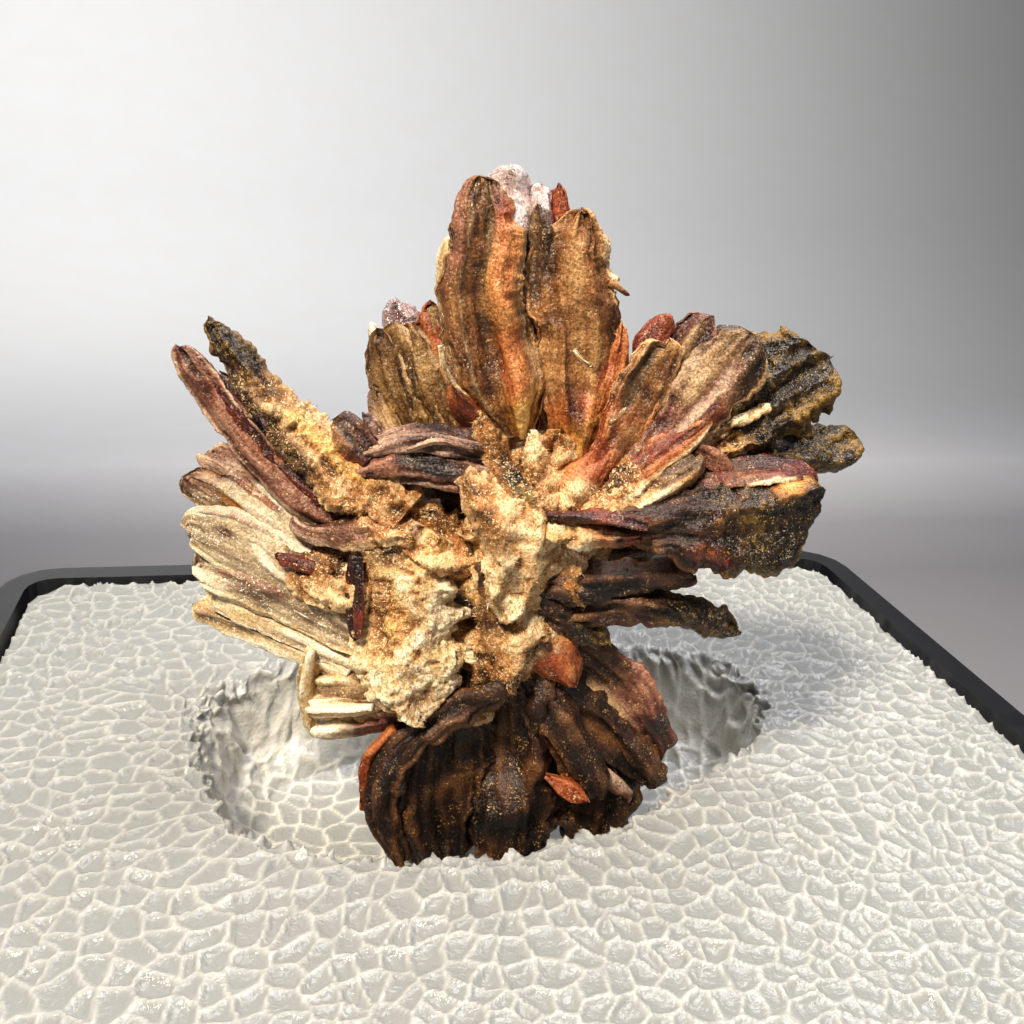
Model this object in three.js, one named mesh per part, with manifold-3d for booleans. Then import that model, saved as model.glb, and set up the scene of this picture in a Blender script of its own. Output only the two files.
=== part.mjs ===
// A goethite thumbnail specimen: a fan of blades grown from one root, standing in a pit dug
// into a foam insert, in a black moulded base tray. Millimetres, +Z up, origin under the middle
// of the tray.

import * as THREE from 'three';
import { mergeVertices } from 'three/addons/utils/BufferGeometryUtils.js';
import Module from 'manifold-3d';

const wasm = await Module();
wasm.setup();

// Driving dimensions of the tray and the foam: the tray's edge is broken by EDGE_BREAK, the foam
// stands GAP clear of the walls and floor, and its upper edge is nibbled back by up to FOAM_BITE.
const TRAY_SIZE = 32;
const TRAY_HEIGHT = 8;
const TRAY_WALL = 1.1;
const TRAY_FLOOR = 1.2;
const TRAY_CORNER = 2;
const EDGE_BREAK = 0.25;
const GAP = 0.3;
const FOAM_CORNER = 1.6;
const FOAM_BITE = 0.45;
const PIT_DEPTH = 3.5;

// How finely the round parts of the tray and the foam are divided.
const CORNER_STEPS = 4;
const FOAM_SIDE_STEPS = 5;
const PIT_STEPS = 32;

// The cluster is described as it looks face on, from VIEW_DISTANCE in front of its heart:
// x to the right, z up, depth away from the eye. HEART and FACING put that face in the tray.
const HEART = new THREE.Vector3(-0.24, 2.84, TRAY_HEIGHT + 5.76);
const FACING = { pitch: -21.3, roll: -4, yaw: -13.2 };
const VIEW_DISTANCE = 25.75;
const EYE = { x: -0.45, z: 1.2 };
const LEAN = 0.27;

const degrees = THREE.MathUtils.degToRad;

// Solids from geometries and back: only positions are kept, with shared corners merged.
function solidOf(geometry) {
  const bare = geometry.clone();
  bare.deleteAttribute('normal');
  bare.deleteAttribute('uv');
  const merged = mergeVertices(bare, 1e-5);
  return new wasm.Manifold(new wasm.Mesh({
    numProp: 3,
    vertProperties: new Float32Array(merged.attributes.position.array),
    triVerts: new Uint32Array(merged.index.array),
  }));
}

function geometryOf(solid) {
  const mesh = solid.getMesh();
  const geometry = new THREE.BufferGeometry();
  geometry.setAttribute('position', new THREE.BufferAttribute(mesh.vertProperties, 3));
  geometry.setIndex(new THREE.BufferAttribute(mesh.triVerts, 1));
  geometry.computeVertexNormals();
  return geometry;
}

// A closed body through rings of equal length, with a fan of triangles over each end.
function loft(rings) {
  const count = rings[0].length;
  const corners = [];
  const push = (...points) => points.forEach((point) => corners.push(point.x, point.y, point.z));
  for (let level = 0; level + 1 < rings.length; level += 1) {
    for (let i = 0; i < count; i += 1) {
      const next = (i + 1) % count;
      const [a, b] = [rings[level][i], rings[level][next]];
      const [c, d] = [rings[level + 1][i], rings[level + 1][next]];
      push(a, b, d, a, d, c);
    }
  }
  const first = rings[0];
  const last = rings[rings.length - 1];
  for (let i = 1; i + 1 < count; i += 1) {
    push(first[0], first[i + 1], first[i]);
    push(last[0], last[i], last[i + 1]);
  }
  const geometry = new THREE.BufferGeometry();
  geometry.setAttribute('position', new THREE.Float32BufferAttribute(corners, 3));
  return geometry;
}

// A square ring with round corners, counted anticlockwise from above, with sideSteps - 1 points
// along each straight side.
function squareRing(size, corner, z, sideSteps = 1) {
  const points = [];
  const reach = size / 2 - corner;
  for (let quarter = 0; quarter < 4; quarter += 1) {
    const start = quarter * Math.PI / 2;
    const centreX = Math.sign(Math.cos(start + Math.PI / 4)) * reach;
    const centreY = Math.sign(Math.sin(start + Math.PI / 4)) * reach;
    for (let i = 0; i <= CORNER_STEPS; i += 1) {
      const angle = start + i / CORNER_STEPS * Math.PI / 2;
      points.push(new THREE.Vector3(
        centreX + corner * Math.cos(angle), centreY + corner * Math.sin(angle), z));
    }
    const end = points[points.length - 1];
    for (let i = 1; i < sideSteps; i += 1) {
      const along = 2 * reach * i / sideSteps;
      points.push(new THREE.Vector3(
        end.x + along * Math.cos(start + Math.PI), end.y + along * Math.sin(start + Math.PI), z));
    }
  }
  return points;
}

// The base tray: one moulding with a broken edge under the floor and round the rim.
function trayGeometry() {
  const inner = TRAY_SIZE - 2 * TRAY_WALL;
  const innerCorner = TRAY_CORNER - TRAY_WALL;
  const broken = 2 * EDGE_BREAK;
  const outside = loft([
    squareRing(TRAY_SIZE - broken, TRAY_CORNER - EDGE_BREAK, 0),
    squareRing(TRAY_SIZE, TRAY_CORNER, EDGE_BREAK),
    squareRing(TRAY_SIZE, TRAY_CORNER, TRAY_HEIGHT - EDGE_BREAK),
    squareRing(TRAY_SIZE - broken, TRAY_CORNER - EDGE_BREAK, TRAY_HEIGHT),
  ]);
  const inside = loft([
    squareRing(inner, innerCorner, TRAY_FLOOR),
    squareRing(inner, innerCorner, TRAY_HEIGHT + 1),
  ]);
  return geometryOf(solidOf(outside).subtract(solidOf(inside)));
}

// The rim of the pit, counted anticlockwise from its right end, on the foam's top.
const pitRim = [
  [8.4, 5.4], [7.9, 7.3], [5.8, 8.4], [3.1, 9], [0, 9.3], [-3.2, 9.1], [-6.2, 8.5], [-8.3, 7.4],
  [-8.9, 5.6], [-8.5, 3.4], [-7.3, 0.6], [-5.3, -0.2], [-2.6, -0.8], [0.2, -0.5], [2.5, 0.4],
  [4.5, 1.4], [6.2, 2.6], [7.7, 3.9],
];
const PIT_MIDDLE = { x: -0.2, y: 3.9 };

// The foam insert: a square block with nibbled edges, and a pit with steep torn walls.
function foamGeometry() {
  const size = TRAY_SIZE - 2 * TRAY_WALL - 2 * GAP;
  const bottom = TRAY_FLOOR + GAP;
  const nibble = (ring, amount) => ring.map((point) => {
    const wave = 0.5 + 0.3 * Math.sin(point.x * 1.3 + point.y * 0.9)
      + 0.2 * Math.sin(point.y * 2.1 - point.x * 1.7);
    const shrink = 1 - amount * wave / (size / 2);
    return new THREE.Vector3(point.x * shrink, point.y * shrink, point.z);
  });
  const block = loft([
    squareRing(size, FOAM_CORNER, bottom, FOAM_SIDE_STEPS),
    nibble(squareRing(size, FOAM_CORNER, TRAY_HEIGHT - 3 * GAP, FOAM_SIDE_STEPS), FOAM_BITE / 2),
    nibble(squareRing(size, FOAM_CORNER, TRAY_HEIGHT - GAP, FOAM_SIDE_STEPS), FOAM_BITE),
    nibble(squareRing(size, FOAM_CORNER, TRAY_HEIGHT, FOAM_SIDE_STEPS), 2 * FOAM_BITE),
  ]);
  const rim = new THREE.CatmullRomCurve3(
    pitRim.map(([x, y]) => new THREE.Vector3(x, y, 0)), true).getPoints(PIT_STEPS).slice(0, -1);
  const pitRing = (scale, z, rough) => rim.map((point, i) => {
    const torn = scale * (1 + rough * Math.sin(i * 3.7 + z));
    return new THREE.Vector3(
      PIT_MIDDLE.x + (point.x - PIT_MIDDLE.x) * torn,
      PIT_MIDDLE.y + (point.y - PIT_MIDDLE.y) * torn,
      TRAY_HEIGHT + z);
  });
  const pit = loft([
    pitRing(0.74, -PIT_DEPTH, 0.02),
    pitRing(0.9, -PIT_DEPTH * 0.7, 0.02),
    pitRing(0.97, -0.3, 0.015),
    pitRing(1.02, 0.01, 0.01),
    pitRing(1.02, 1, 0.01),
  ]);
  return geometryOf(solidOf(block).subtract(solidOf(pit)));
}

// Each crystal of the cluster is a blade: its spine runs from root to tip as [x, z, width], its
// depth goes from root to tip, and turn swings its right edge away from the eye, in degrees.
const crown = {
  leftRib: { depth: [-1, -1.3], thick: 0.55, turn: -18,
    spine: [[-0.9, 2.45, 0.5], [-1.6, 4.6, 0.7], [-1.9, 6.5, 0.75], [-1.8, 8.1, 0.7], [-1.55, 9.05, 0.6],
      [-1.35, 9.5, 0.3]] },
  midRib: { depth: [-1.1, -1.45], thick: 0.6, turn: 6,
    spine: [[-0.6, 2.25, 0.5], [-1.3, 4.6, 0.7], [-1.4, 6.5, 0.75], [-1.2, 8.1, 0.7], [-1, 9.05, 0.6],
      [-1, 9.5, 0.2]] },
  web: { depth: [-1, -1.1], thick: 0.35, turn: 0,
    spine: [[-0.45, 2.75, 0.55], [-0.8, 4.5, 1.1], [-0.9, 6.75, 1.1], [-0.8, 8.4, 0.9],
      [-0.7, 9.05, 0.3]] },
  emberRib: { depth: [-1.3, -1.3], thick: 0.75, turn: 12,
    spine: [[-0.3, 2.5, 0.5], [-0.55, 3.95, 0.9], [-0.6, 5.4, 0.7], [-0.55, 7.1, 0.6], [-0.5, 8.3, 0.35],
      [-0.5, 8.7, 0.15]] },
  rightFlange: { depth: [-1, -1], thick: 0.35, turn: -25,
    spine: [[0, 2.9, 0.3], [0.2, 3.8, 0.6], [0.1, 4.7, 0.7], [-0.2, 6.25, 0.35], [-0.3, 7.45, 0.25]] },
  shadowRib: { depth: [-0.9, -1], thick: 0.45, turn: -48,
    spine: [[0.65, 3, 0.35], [0.3, 5.25, 0.6], [0, 6.9, 0.7], [0, 8.1, 0.6], [0.2, 8.8, 0.2]] },
  centreSlab: { depth: [-1, -1.2], thick: 0.5, turn: -8,
    spine: [[0.9, 2.25, 0.7], [0.8, 3.9, 1.05], [0.7, 5.5, 1.4], [0.7, 7.1, 1.35], [0.6, 8, 0.65],
      [0.5, 8.15, 0.25]] },
  rightSlab: { depth: [-1.1, -1.1], thick: 0.5, turn: 14,
    spine: [[1.25, 2.3, 0.7], [1.6, 4, 1.1], [1.75, 5.9, 1.2], [1.8, 7.45, 1], [1.6, 8.25, 0.75],
      [1.35, 8.85, 0.3]] },
  rightBulge: { depth: [-0.9, -0.8], thick: 0.4, turn: 28,
    spine: [[1.55, 2.75, 0.65], [2.05, 4, 0.8], [2.3, 5.25, 0.55], [2.3, 6, 0.2]] },
  hiddenRed: { depth: [-0.7, -0.5], thick: 0.5, turn: 20,
    spine: [[0.65, 7.45, 0.35], [0.8, 8.45, 0.45], [0.8, 9.1, 0.35], [0.7, 9.5, 0.15]] },
};

const crystals = {
  clearLumpLeft: { depth: [-0.7, -0.3], thick: 0.95, turn: 0,
    spine: [[-0.4, 6.75, 0.6], [-0.45, 8.4, 1], [-0.5, 9.45, 1], [-0.5, 9.9, 0.6]] },
  clearLumpRight: { depth: [-0.6, -0.4], thick: 0.6, turn: 0,
    spine: [[0.25, 7.45, 0.5], [0.3, 8.6, 0.6], [0.3, 9.4, 0.35]] },
  paleBackBlade: { depth: [-0.5, -0.4], thick: 0.4, turn: -20,
    spine: [[-1.65, 4.5, 0.5], [-2.1, 6.25, 0.6], [-2.15, 7.45, 0.45], [-2.05, 8.1, 0.2]] },
  roseLump: { depth: [0.3, 1], thick: 0.8, turn: 0,
    spine: [[-2.5, 4, 0.85], [-3.05, 5.5, 1.05], [-3.3, 6.2, 0.95], [-3.35, 6.55, 0.5]] },
  creamChip: { depth: [0.4, 0.9], thick: 0.4, turn: 0,
    spine: [[-3.15, 4.35, 0.6], [-3.85, 5.55, 0.5], [-4, 5.95, 0.25]] },
};

const book = {
  plate1: { depth: [-0.1, 0.4], thick: 0.5, turn: -30,
    spine: [[-2.75, 2.75, 0.5], [-3.55, 4.2, 0.65], [-3.8, 5.1, 0.55], [-3.85, 5.75, 0.3]] },
  plate2: { depth: [-0.2, 0.2], thick: 0.5, turn: -24,
    spine: [[-2.4, 2.7, 0.55], [-3.2, 4.3, 0.65], [-3.45, 5.3, 0.6], [-3.55, 5.9, 0.35]] },
  plate3: { depth: [-0.3, 0.1], thick: 0.5, turn: -18,
    spine: [[-2.05, 2.75, 0.55], [-2.8, 4.4, 0.65], [-3.1, 5.45, 0.6], [-3.15, 6, 0.35]] },
  plate4: { depth: [-0.4, 0], thick: 0.5, turn: -12,
    spine: [[-1.7, 2.85, 0.55], [-2.4, 4.45, 0.65], [-2.7, 5.5, 0.6], [-2.8, 6.1, 0.35]] },
  plate5: { depth: [-0.4, 0], thick: 0.45, turn: 0,
    spine: [[-1.35, 3, 0.45], [-2.1, 4.7, 0.55], [-2.3, 5.6, 0.5], [-2.4, 6.3, 0.3]] },
  lowLobe: { depth: [-0.3, 0.3], thick: 0.5, turn: -20,
    spine: [[-3, 2.55, 0.6], [-3.7, 3.4, 0.75], [-3.9, 3.95, 0.6], [-3.9, 4.4, 0.25]] },
  foot: { depth: [0.1, 0.2], thick: 1.1, turn: 0,
    spine: [[-1, 1, 2.25], [-1.95, 2.05, 2], [-2.55, 2.8, 1.5], [-2.95, 3.4, 0.75]] },
  honeyKnob: { depth: [-0.1, 0.2], thick: 0.5, turn: 0,
    spine: [[-2.1, 5.1, 0.5], [-2.4, 5.95, 0.6], [-2.5, 6.5, 0.35]] },
  orangeKnob: { depth: [-1.2, -1.3], thick: 0.5, turn: 20,
    spine: [[-1.25, 3.4, 0.4], [-1.7, 3.95, 0.55], [-2, 4.5, 0.2]] },
};

const leftPair = {
  outerMica: { depth: [-1, -0.6], thick: 0.4, turn: -35,
    spine: [[-4.2, 0.5, 0.75], [-6.8, 2.55, 0.6], [-7.7, 3.6, 0.7], [-8.35, 4.6, 0.7],
      [-8.8, 5.4, 0.3]] },
  outerRed: { depth: [-0.9, -0.5], thick: 0.3, turn: 35,
    spine: [[-4.1, 0.9, 0.6], [-6.35, 2.75, 0.55], [-7.35, 3.9, 0.55], [-8.5, 5.3, 0.2]] },
  innerStout: { depth: [-1.3, -0.9], thick: 0.7, turn: 0,
    spine: [[-3.25, 1, 1.65], [-4.65, 2.2, 1.55], [-5.75, 3.2, 1.15], [-6.95, 4.45, 0.95],
      [-7.8, 5.65, 0.75], [-8.05, 6.1, 0.35]] },
  innerBack: { depth: [-0.9, -0.5], thick: 0.4, turn: 25,
    spine: [[-3.25, 1.25, 0.75], [-5.1, 2.6, 0.75], [-6.6, 4.05, 0.6], [-7.6, 5.4, 0.3]] },
};

const bridge = {
  plateLow: { depth: [-1.2, -1.6], thick: 0.35, turn: 10,
    spine: [[-4.1, 2.15, 0.45], [-3.2, 2.5, 0.75], [-2, 2.5, 0.85], [-0.4, 1.8, 0.5]] },
  plateHigh: { depth: [-0.9, -1.5], thick: 0.35, turn: -15,
    spine: [[-3.65, 3, 0.35], [-2.75, 3.1, 0.6], [-0.75, 2.8, 0.6]] },
  block: { depth: [-1.1, -0.9], thick: 0.5, turn: 0,
    spine: [[-3.55, 2.3, 0.65], [-4.45, 3.25, 0.75], [-5.05, 3.6, 0.45]] },
};

const fan = {
  thinTop: { depth: [-1, -0.2], thick: 0.2, turn: 40,
    spine: [[-4.75, -0.3, 0.35], [-6.15, 0.8, 0.55], [-7.35, 2.1, 0.8], [-8.15, 2.7, 0.5],
      [-8.3, 2.7, 0.2]] },
  plate2: { depth: [-1.1, -0.3], thick: 0.45, turn: 50,
    spine: [[-5, -0.6, 0.65], [-6.35, 0.4, 0.8], [-7.65, 1.45, 0.8], [-8.55, 2, 0.5],
      [-8.7, 2.1, 0.25]] },
  plate3: { depth: [-1.1, -0.2], thick: 0.5, turn: 45,
    spine: [[-4.75, -1.1, 0.85], [-6.15, -0.35, 1], [-7.5, 0.35, 1], [-8.5, 0.8, 0.7],
      [-8.7, 0.85, 0.35]] },
  plate4: { depth: [-1.5, -0.2], thick: 0.45, turn: 30,
    spine: [[-3.25, -2.4, 0.65], [-5, -1.55, 0.75], [-6.5, -0.75, 0.95], [-7.95, -0.25, 0.85],
      [-8.4, -0.15, 0.6]] },
  rib5: { depth: [-1, -0.1], thick: 0.4, turn: 20,
    spine: [[-4.4, -2.45, 0.4], [-6, -1.6, 0.5], [-7.55, -0.9, 0.5], [-8.1, -0.8, 0.35]] },
  rib6: { depth: [-1, 0], thick: 0.4, turn: 10,
    spine: [[-4.5, -2.8, 0.4], [-6, -2, 0.5], [-7.45, -1.35, 0.55], [-8.15, -1.15, 0.5],
      [-8.4, -1.1, 0.3]] },
  body: { depth: [-1.3, -0.6], thick: 0.8, turn: 25,
    spine: [[-3.8, -0.5, 1.75], [-4.75, -0.25, 1.9], [-5.65, 0.1, 1.65], [-6.5, 0.55, 1],
      [-7, 0.9, 0.5]] },
  crustShelf: { depth: [-1.7, -1.1], thick: 0.5, turn: 30,
    spine: [[-2.95, 0.75, 0.75], [-4.5, 0.8, 0.95], [-5.6, 0.85, 0.5], [-6, 1.15, 0.2]] },
};

const block = {
  back: { depth: [-0.9, -0.4], thick: 0.9, turn: 0,
    spine: [[-2, -2.4, 1], [-4, -2.75, 1.1], [-5.1, -2.8, 1.05], [-5.45, -2.8, 0.85]] },
  leftRib: { depth: [-0.9, -0.8], thick: 0.5, turn: 0,
    spine: [[-5.4, -2.25, 0.25], [-5.55, -2.9, 0.45], [-5.5, -4.05, 0.4], [-5.4, -4.4, 0.15]] },
  lowRib: { depth: [-1.3, -0.9], thick: 0.55, turn: 15,
    spine: [[-3.2, -3.6, 0.65], [-4.5, -3.75, 0.85], [-5.4, -3.9, 0.75], [-5.6, -3.9, 0.45]] },
  midRib: { depth: [-1.1, -0.9], thick: 0.4, turn: 0,
    spine: [[-3.75, -3.25, 0.3], [-4.9, -3.25, 0.4], [-5.55, -3.3, 0.2]] },
};

const pillar = {
  slab: { depth: [-1.6, -2], thick: 0.9, turn: -10,
    spine: [[-2.5, 0.75, 1.75], [-3.2, -0.35, 2.5], [-3.2, -1.75, 2.65], [-2.85, -3.2, 2.35],
      [-2.65, -4.2, 0.75]] },
  brightRib: { depth: [-2, -2.2], thick: 0.5, turn: 30,
    spine: [[-2.25, 0.25, 0.5], [-1.95, -1.25, 0.65], [-1.65, -2.9, 0.25]] },
};

const core = {
  front: { depth: [-1.6, -1.4], thick: 1.8, turn: 0,
    spine: [[-1.55, 2.25, 1], [-0.4, 1.1, 2.8], [-0.35, -0.5, 2.8], [-0.95, -1.6, 1]] },
  upper: { depth: [-1.3, -1.2], thick: 1.4, turn: 0,
    spine: [[-1.25, 0.6, 1.25], [-0.25, 1.5, 2.25], [0.65, 2.75, 1.35], [0.8, 3.25, 0.6]] },
  left: { depth: [-1, -1.2], thick: 1.6, turn: 0,
    spine: [[-0.75, 0, 1.75], [-2, 0.3, 2], [-3, 0.75, 1.5], [-3.75, 1, 0.75]] },
  low: { depth: [-0.9, -0.9], thick: 1.8, turn: 0,
    spine: [[-0.75, 0.25, 2], [-0.75, -1.5, 2.4], [-0.5, -3.25, 1.6]] },
  heart: { depth: [0.2, 0.4], thick: 3.6, turn: 0,
    spine: [[-2.5, -0.75, 1.5], [-1.5, -0.25, 3], [-0.25, 0.1, 3.75], [1, 0.75, 3.25], [2, 1.25, 1.5]] },
  back: { depth: [1.7, 1.9], thick: 2.6, turn: 0,
    spine: [[-2, 0, 1.75], [-0.75, 0.25, 3.25], [0.75, 0.75, 3], [1.5, 1.1, 1.5]] },
  strawRootsLeft: { depth: [-1.8, -1.3], thick: 0.5, turn: 0,
    spine: [[0.45, 1, 0.6], [0.2, 2.1, 0.75], [0, 3.25, 0.2]] },
  strawRootsRight: { depth: [-1.9, -1.2], thick: 0.6, turn: 0,
    spine: [[0.65, 0.9, 0.75], [1.4, 2.1, 1.1], [2.1, 3.2, 0.45]] },
  goldenRidge: { depth: [-2, -1.4], thick: 0.55, turn: 10,
    spine: [[0.55, 0.5, 0.9], [-0.25, 1.75, 1], [-1, 3, 0.65], [-1.3, 3.75, 0.3]] },
};

const rightFan = {
  redGlass: { depth: [-0.95, -0.8], thick: 0.3, turn: -20,
    spine: [[2.55, 4.2, 0.4], [3.05, 5.5, 0.6], [3.4, 6, 0.4], [3.5, 6.15, 0.2]] },
  goldBlade: { depth: [-1.4, -1], thick: 0.45, turn: 10,
    spine: [[1.75, 2.1, 0.75], [2.6, 3.65, 1.2], [3.2, 4.95, 0.95], [3.45, 5.5, 0.55],
      [3.55, 5.7, 0.2]] },
  broadUpper: { depth: [-1.2, -0.7], thick: 0.4, turn: -10,
    spine: [[2.2, 1.5, 0.65], [3.25, 3.4, 1], [4, 5.25, 1.05], [4.3, 5.9, 0.75], [4.5, 6.3, 0.3]] },
  broadMiddle: { depth: [-1.3, -0.8], thick: 0.4, turn: 5,
    spine: [[2.2, 1.45, 0.65], [3.75, 3.4, 1], [4.8, 5.05, 1.05], [5.15, 5.7, 0.7], [5.3, 5.95, 0.25]] },
  broadLower: { depth: [-1.4, -0.9], thick: 0.45, turn: 25,
    spine: [[1.9, 1.3, 0.6], [3.6, 2.9, 0.75], [5.05, 4.5, 0.8], [5.5, 5.25, 0.6], [5.7, 5.75, 0.2]] },
  emberRoll: { depth: [-1.6, -1.1], thick: 0.45, turn: 0,
    spine: [[1.5, 1, 0.5], [2.75, 2, 0.6], [4.1, 3, 0.5], [4.6, 3.5, 0.2]] },
  lowerLip: { depth: [-1.8, -1.3], thick: 0.4, turn: 20,
    spine: [[1.25, 0.8, 0.55], [2.7, 1.7, 0.7], [3.85, 2.35, 0.65], [4.3, 2.7, 0.2]] },
};

const darkFan = {
  blade1: { depth: [-0.7, 0.1], thick: 0.4, turn: -15,
    spine: [[3, 1.75, 0.4], [4.8, 3.65, 0.7], [5.9, 5.2, 0.85], [6.45, 5.95, 0.4]] },
  blade2: { depth: [-0.7, 0], thick: 0.4, turn: -5,
    spine: [[3.15, 1.65, 0.45], [5.25, 3.6, 0.8], [6.5, 5, 0.95], [7.05, 5.55, 0.35]] },
  blade3: { depth: [-0.7, -0.1], thick: 0.45, turn: 5,
    spine: [[3.25, 1.6, 0.45], [5.55, 3.4, 0.85], [7.05, 4.55, 1], [7.8, 5.1, 0.45]] },
  blade4: { depth: [-0.7, -0.2], thick: 0.45, turn: 15,
    spine: [[3.3, 1.5, 0.45], [5.75, 3.15, 0.8], [7.3, 4, 0.95], [8.1, 4.5, 0.4]] },
  lobe: { depth: [-0.7, 0.2], thick: 0.6, turn: 0,
    spine: [[3.45, 1.85, 0.5], [5.9, 2.4, 0.85], [7.3, 2.75, 1.2], [8.05, 3, 0.85], [8.2, 3.05, 0.4]] },
};

const lowerBlade = {
  red: { depth: [-1.1, -1.1], thick: 0.4, turn: -50,
    spine: [[3.25, 1.6, 0.4], [5, 2.3, 0.85], [6.5, 2.3, 0.75], [7.2, 1.95, 0.3]] },
  top: { depth: [-1.9, -1.6], thick: 0.6, turn: 10,
    spine: [[1.75, 0.9, 0.65], [3.55, 1.3, 1.1], [5.25, 1.45, 1.25], [6.9, 1.6, 0.95],
      [7.4, 1.65, 0.4]] },
  middle: { depth: [-1.9, -1.7], thick: 0.55, turn: 0,
    spine: [[1.9, 0.65, 0.65], [3.75, 0.8, 1.15], [5.5, 0.75, 1.35], [6.75, 1, 0.55]] },
  low: { depth: [-1.7, -1.55], thick: 0.5, turn: -15,
    spine: [[2.25, 0.35, 0.55], [4.25, 0.2, 1.1], [5.5, 0.1, 1.05], [6.35, 0.4, 0.35]] },
  hem: { depth: [-1.6, -1.5], thick: 0.4, turn: -35,
    spine: [[3, 0.1, 0.4], [4.35, -0.2, 0.6], [5.5, -0.3, 0.45], [5.85, -0.25, 0.2]] },
};

const bark = {
  columnTop: { depth: [-1.3, -1], thick: 0.6, turn: 0,
    spine: [[0, -0.65, 0.65], [1.75, -0.6, 0.9], [3.35, -0.45, 0.8], [3.95, -0.4, 0.5],
      [4.15, -0.4, 0.2]] },
  columnLow: { depth: [-1, -0.9], thick: 0.55, turn: 10,
    spine: [[0.25, -1.15, 0.65], [2.25, -1.2, 0.9], [3.85, -1.35, 0.8], [4.85, -1.65, 0.65],
      [5.3, -1.8, 0.2]] },
  lump: { depth: [-1.1, -1], thick: 0.8, turn: 0,
    spine: [[-0.25, -0.95, 0.75], [1.1, -1.5, 1.1], [1.85, -2, 0.8], [2.05, -2.2, 0.35]] },
  redSplinter: { depth: [-2.1, -2.4], thick: 0.3, turn: 20,
    spine: [[0.4, 1.05, 0.3], [1.75, 1, 0.4], [2.7, 0.85, 0.4], [3, 0.75, 0.2]] },
  splinterShelf: { depth: [-2, -2.1], thick: 0.35, turn: -20,
    spine: [[0.4, 0.65, 0.6], [1.75, 0.6, 0.55], [2.85, 0.6, 0.1]] },
};

const stem = {
  curledLeaf: { depth: [-2, -1.5], thick: 0.5, turn: 30,
    spine: [[-0.7, -3.1, 0.3], [-2.05, -3.8, 0.6], [-3.2, -4.55, 0.75], [-3.8, -5.5, 0.8],
      [-3.7, -6.75, 0.75], [-3.2, -7.65, 0.25]] },
  leftCore: { depth: [-0.7, -0.4], thick: 1.6, turn: 0,
    spine: [[-1.7, -2.5, 1.5], [-2.1, -4, 2.3], [-2.25, -6, 2.5], [-1.95, -7.7, 1.25]] },
  midCore: { depth: [-0.5, -0.3], thick: 1.6, turn: 0,
    spine: [[-0.5, -2, 1.75], [-0.45, -4, 2.25], [-0.45, -6.25, 2.3], [-0.6, -7.95, 1.25]] },
  backCore: { depth: [1, 1.1], thick: 2, turn: 0,
    spine: [[-0.25, 0, 2], [-0.55, -2.5, 2.75], [-0.6, -4.75, 3], [-0.65, -6.95, 1.6]] },
  rightRidge: { depth: [-1, -0.7], thick: 0.7, turn: -20,
    spine: [[-0.3, -2.6, 0.65], [0.65, -3.95, 0.85], [1.5, -5.4, 0.75], [1.7, -6, 0.35]] },
  rightSlab: { depth: [-0.5, 0.2], thick: 0.9, turn: 20,
    spine: [[0.1, -2.75, 0.75], [1.75, -4.25, 1.1], [2.75, -5.3, 0.9], [3, -5.8, 0.5]] },
  rightFoot: { depth: [0.2, 0.4], thick: 1.2, turn: 0,
    spine: [[0, -3.25, 1.5], [1.25, -5, 2.25], [1.55, -6.4, 2], [1.25, -7.25, 1.1]] },
  farRight: { depth: [-0.3, 0.3], thick: 0.7, turn: 30,
    spine: [[-0.1, -1.5, 0.9], [1.9, -3.1, 1.3], [2.95, -4.45, 1.05], [3.2, -5.1, 0.55]] },
  orangeBit: { depth: [-1.1, -1.1], thick: 0.5, turn: 0,
    spine: [[0.4, -5.45, 0.2], [1, -5.8, 0.6], [1.5, -6.05, 0.2]] },
  throat: { depth: [-1, -0.8], thick: 0.9, turn: 0,
    spine: [[-1.35, -1.75, 1.5], [-1.6, -3.25, 1.8], [-1.95, -4.35, 1]] },
};

// The far side, in the order of the near side's largest blades: the same habit, a little
// shorter, and leaning outwards behind the heart.
const BACK_SHRINK = 0.88;
const BACK_ROOT = 0.6;
const BACK_TIP = 3.2;
const BACK_STAGGER = 0.8;
const BACK_STOUTER = 1.3;
const BACK_THICKEST = 1;
const HEART_END = [0, -0.4, 1];
const nearBlades = [
  crown.leftRib, crown.centreSlab, crown.rightSlab, book.plate2, book.plate4, leftPair.outerMica,
  fan.plate2, fan.plate4, pillar.slab, rightFan.goldBlade, rightFan.broadMiddle, darkFan.blade2,
  darkFan.blade4, lowerBlade.middle, bark.columnTop,
];
const back = Object.fromEntries(nearBlades.map((blade, i) => [`far${i}`, {
  depth: [BACK_ROOT, BACK_TIP - BACK_STAGGER * (i % 3)],
  thick: Math.min(blade.thick * BACK_STOUTER, BACK_THICKEST),
  turn: -blade.turn,
  spine: [HEART_END, ...[1, -2, -1].map((k) => blade.spine.at(k).map((v) => v * BACK_SHRINK))],
}]));

// A point of the face-on outline at its depth: what is nearer is drawn in towards the eye's axis
// and what is further is drawn out, so that the outline holds. The whole face leans back.
function place(x, z, depth) {
  const y = depth - LEAN * z;
  const spread = 1 + y / VIEW_DISTANCE;
  return new THREE.Vector3(EYE.x + (x - EYE.x) * spread, y, EYE.z + (z - EYE.z) * spread);
}

// Cross-sections, in half widths and half thicknesses: slivers have four sides, blades are flat
// bars of six, and stout lumps have eight.
const SLIVER_SECTION = [[1, 0.2], [-0.2, 1], [-1, -0.2], [0.2, -1]];
const FLAT_SECTION = [[1, 0], [0.45, 0.9], [-0.5, 1], [-1, 0], [-0.45, -1], [0.5, -0.9]];
const STOUT_SECTION = [
  [1, 0.1], [0.7, 0.75], [0.1, 1], [-0.6, 0.8], [-1, 0], [-0.7, -0.8], [0, -1], [0.75, -0.7],
];
const SLIVER_TO = 0.47;
const STOUT_FROM = 0.85;

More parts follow.
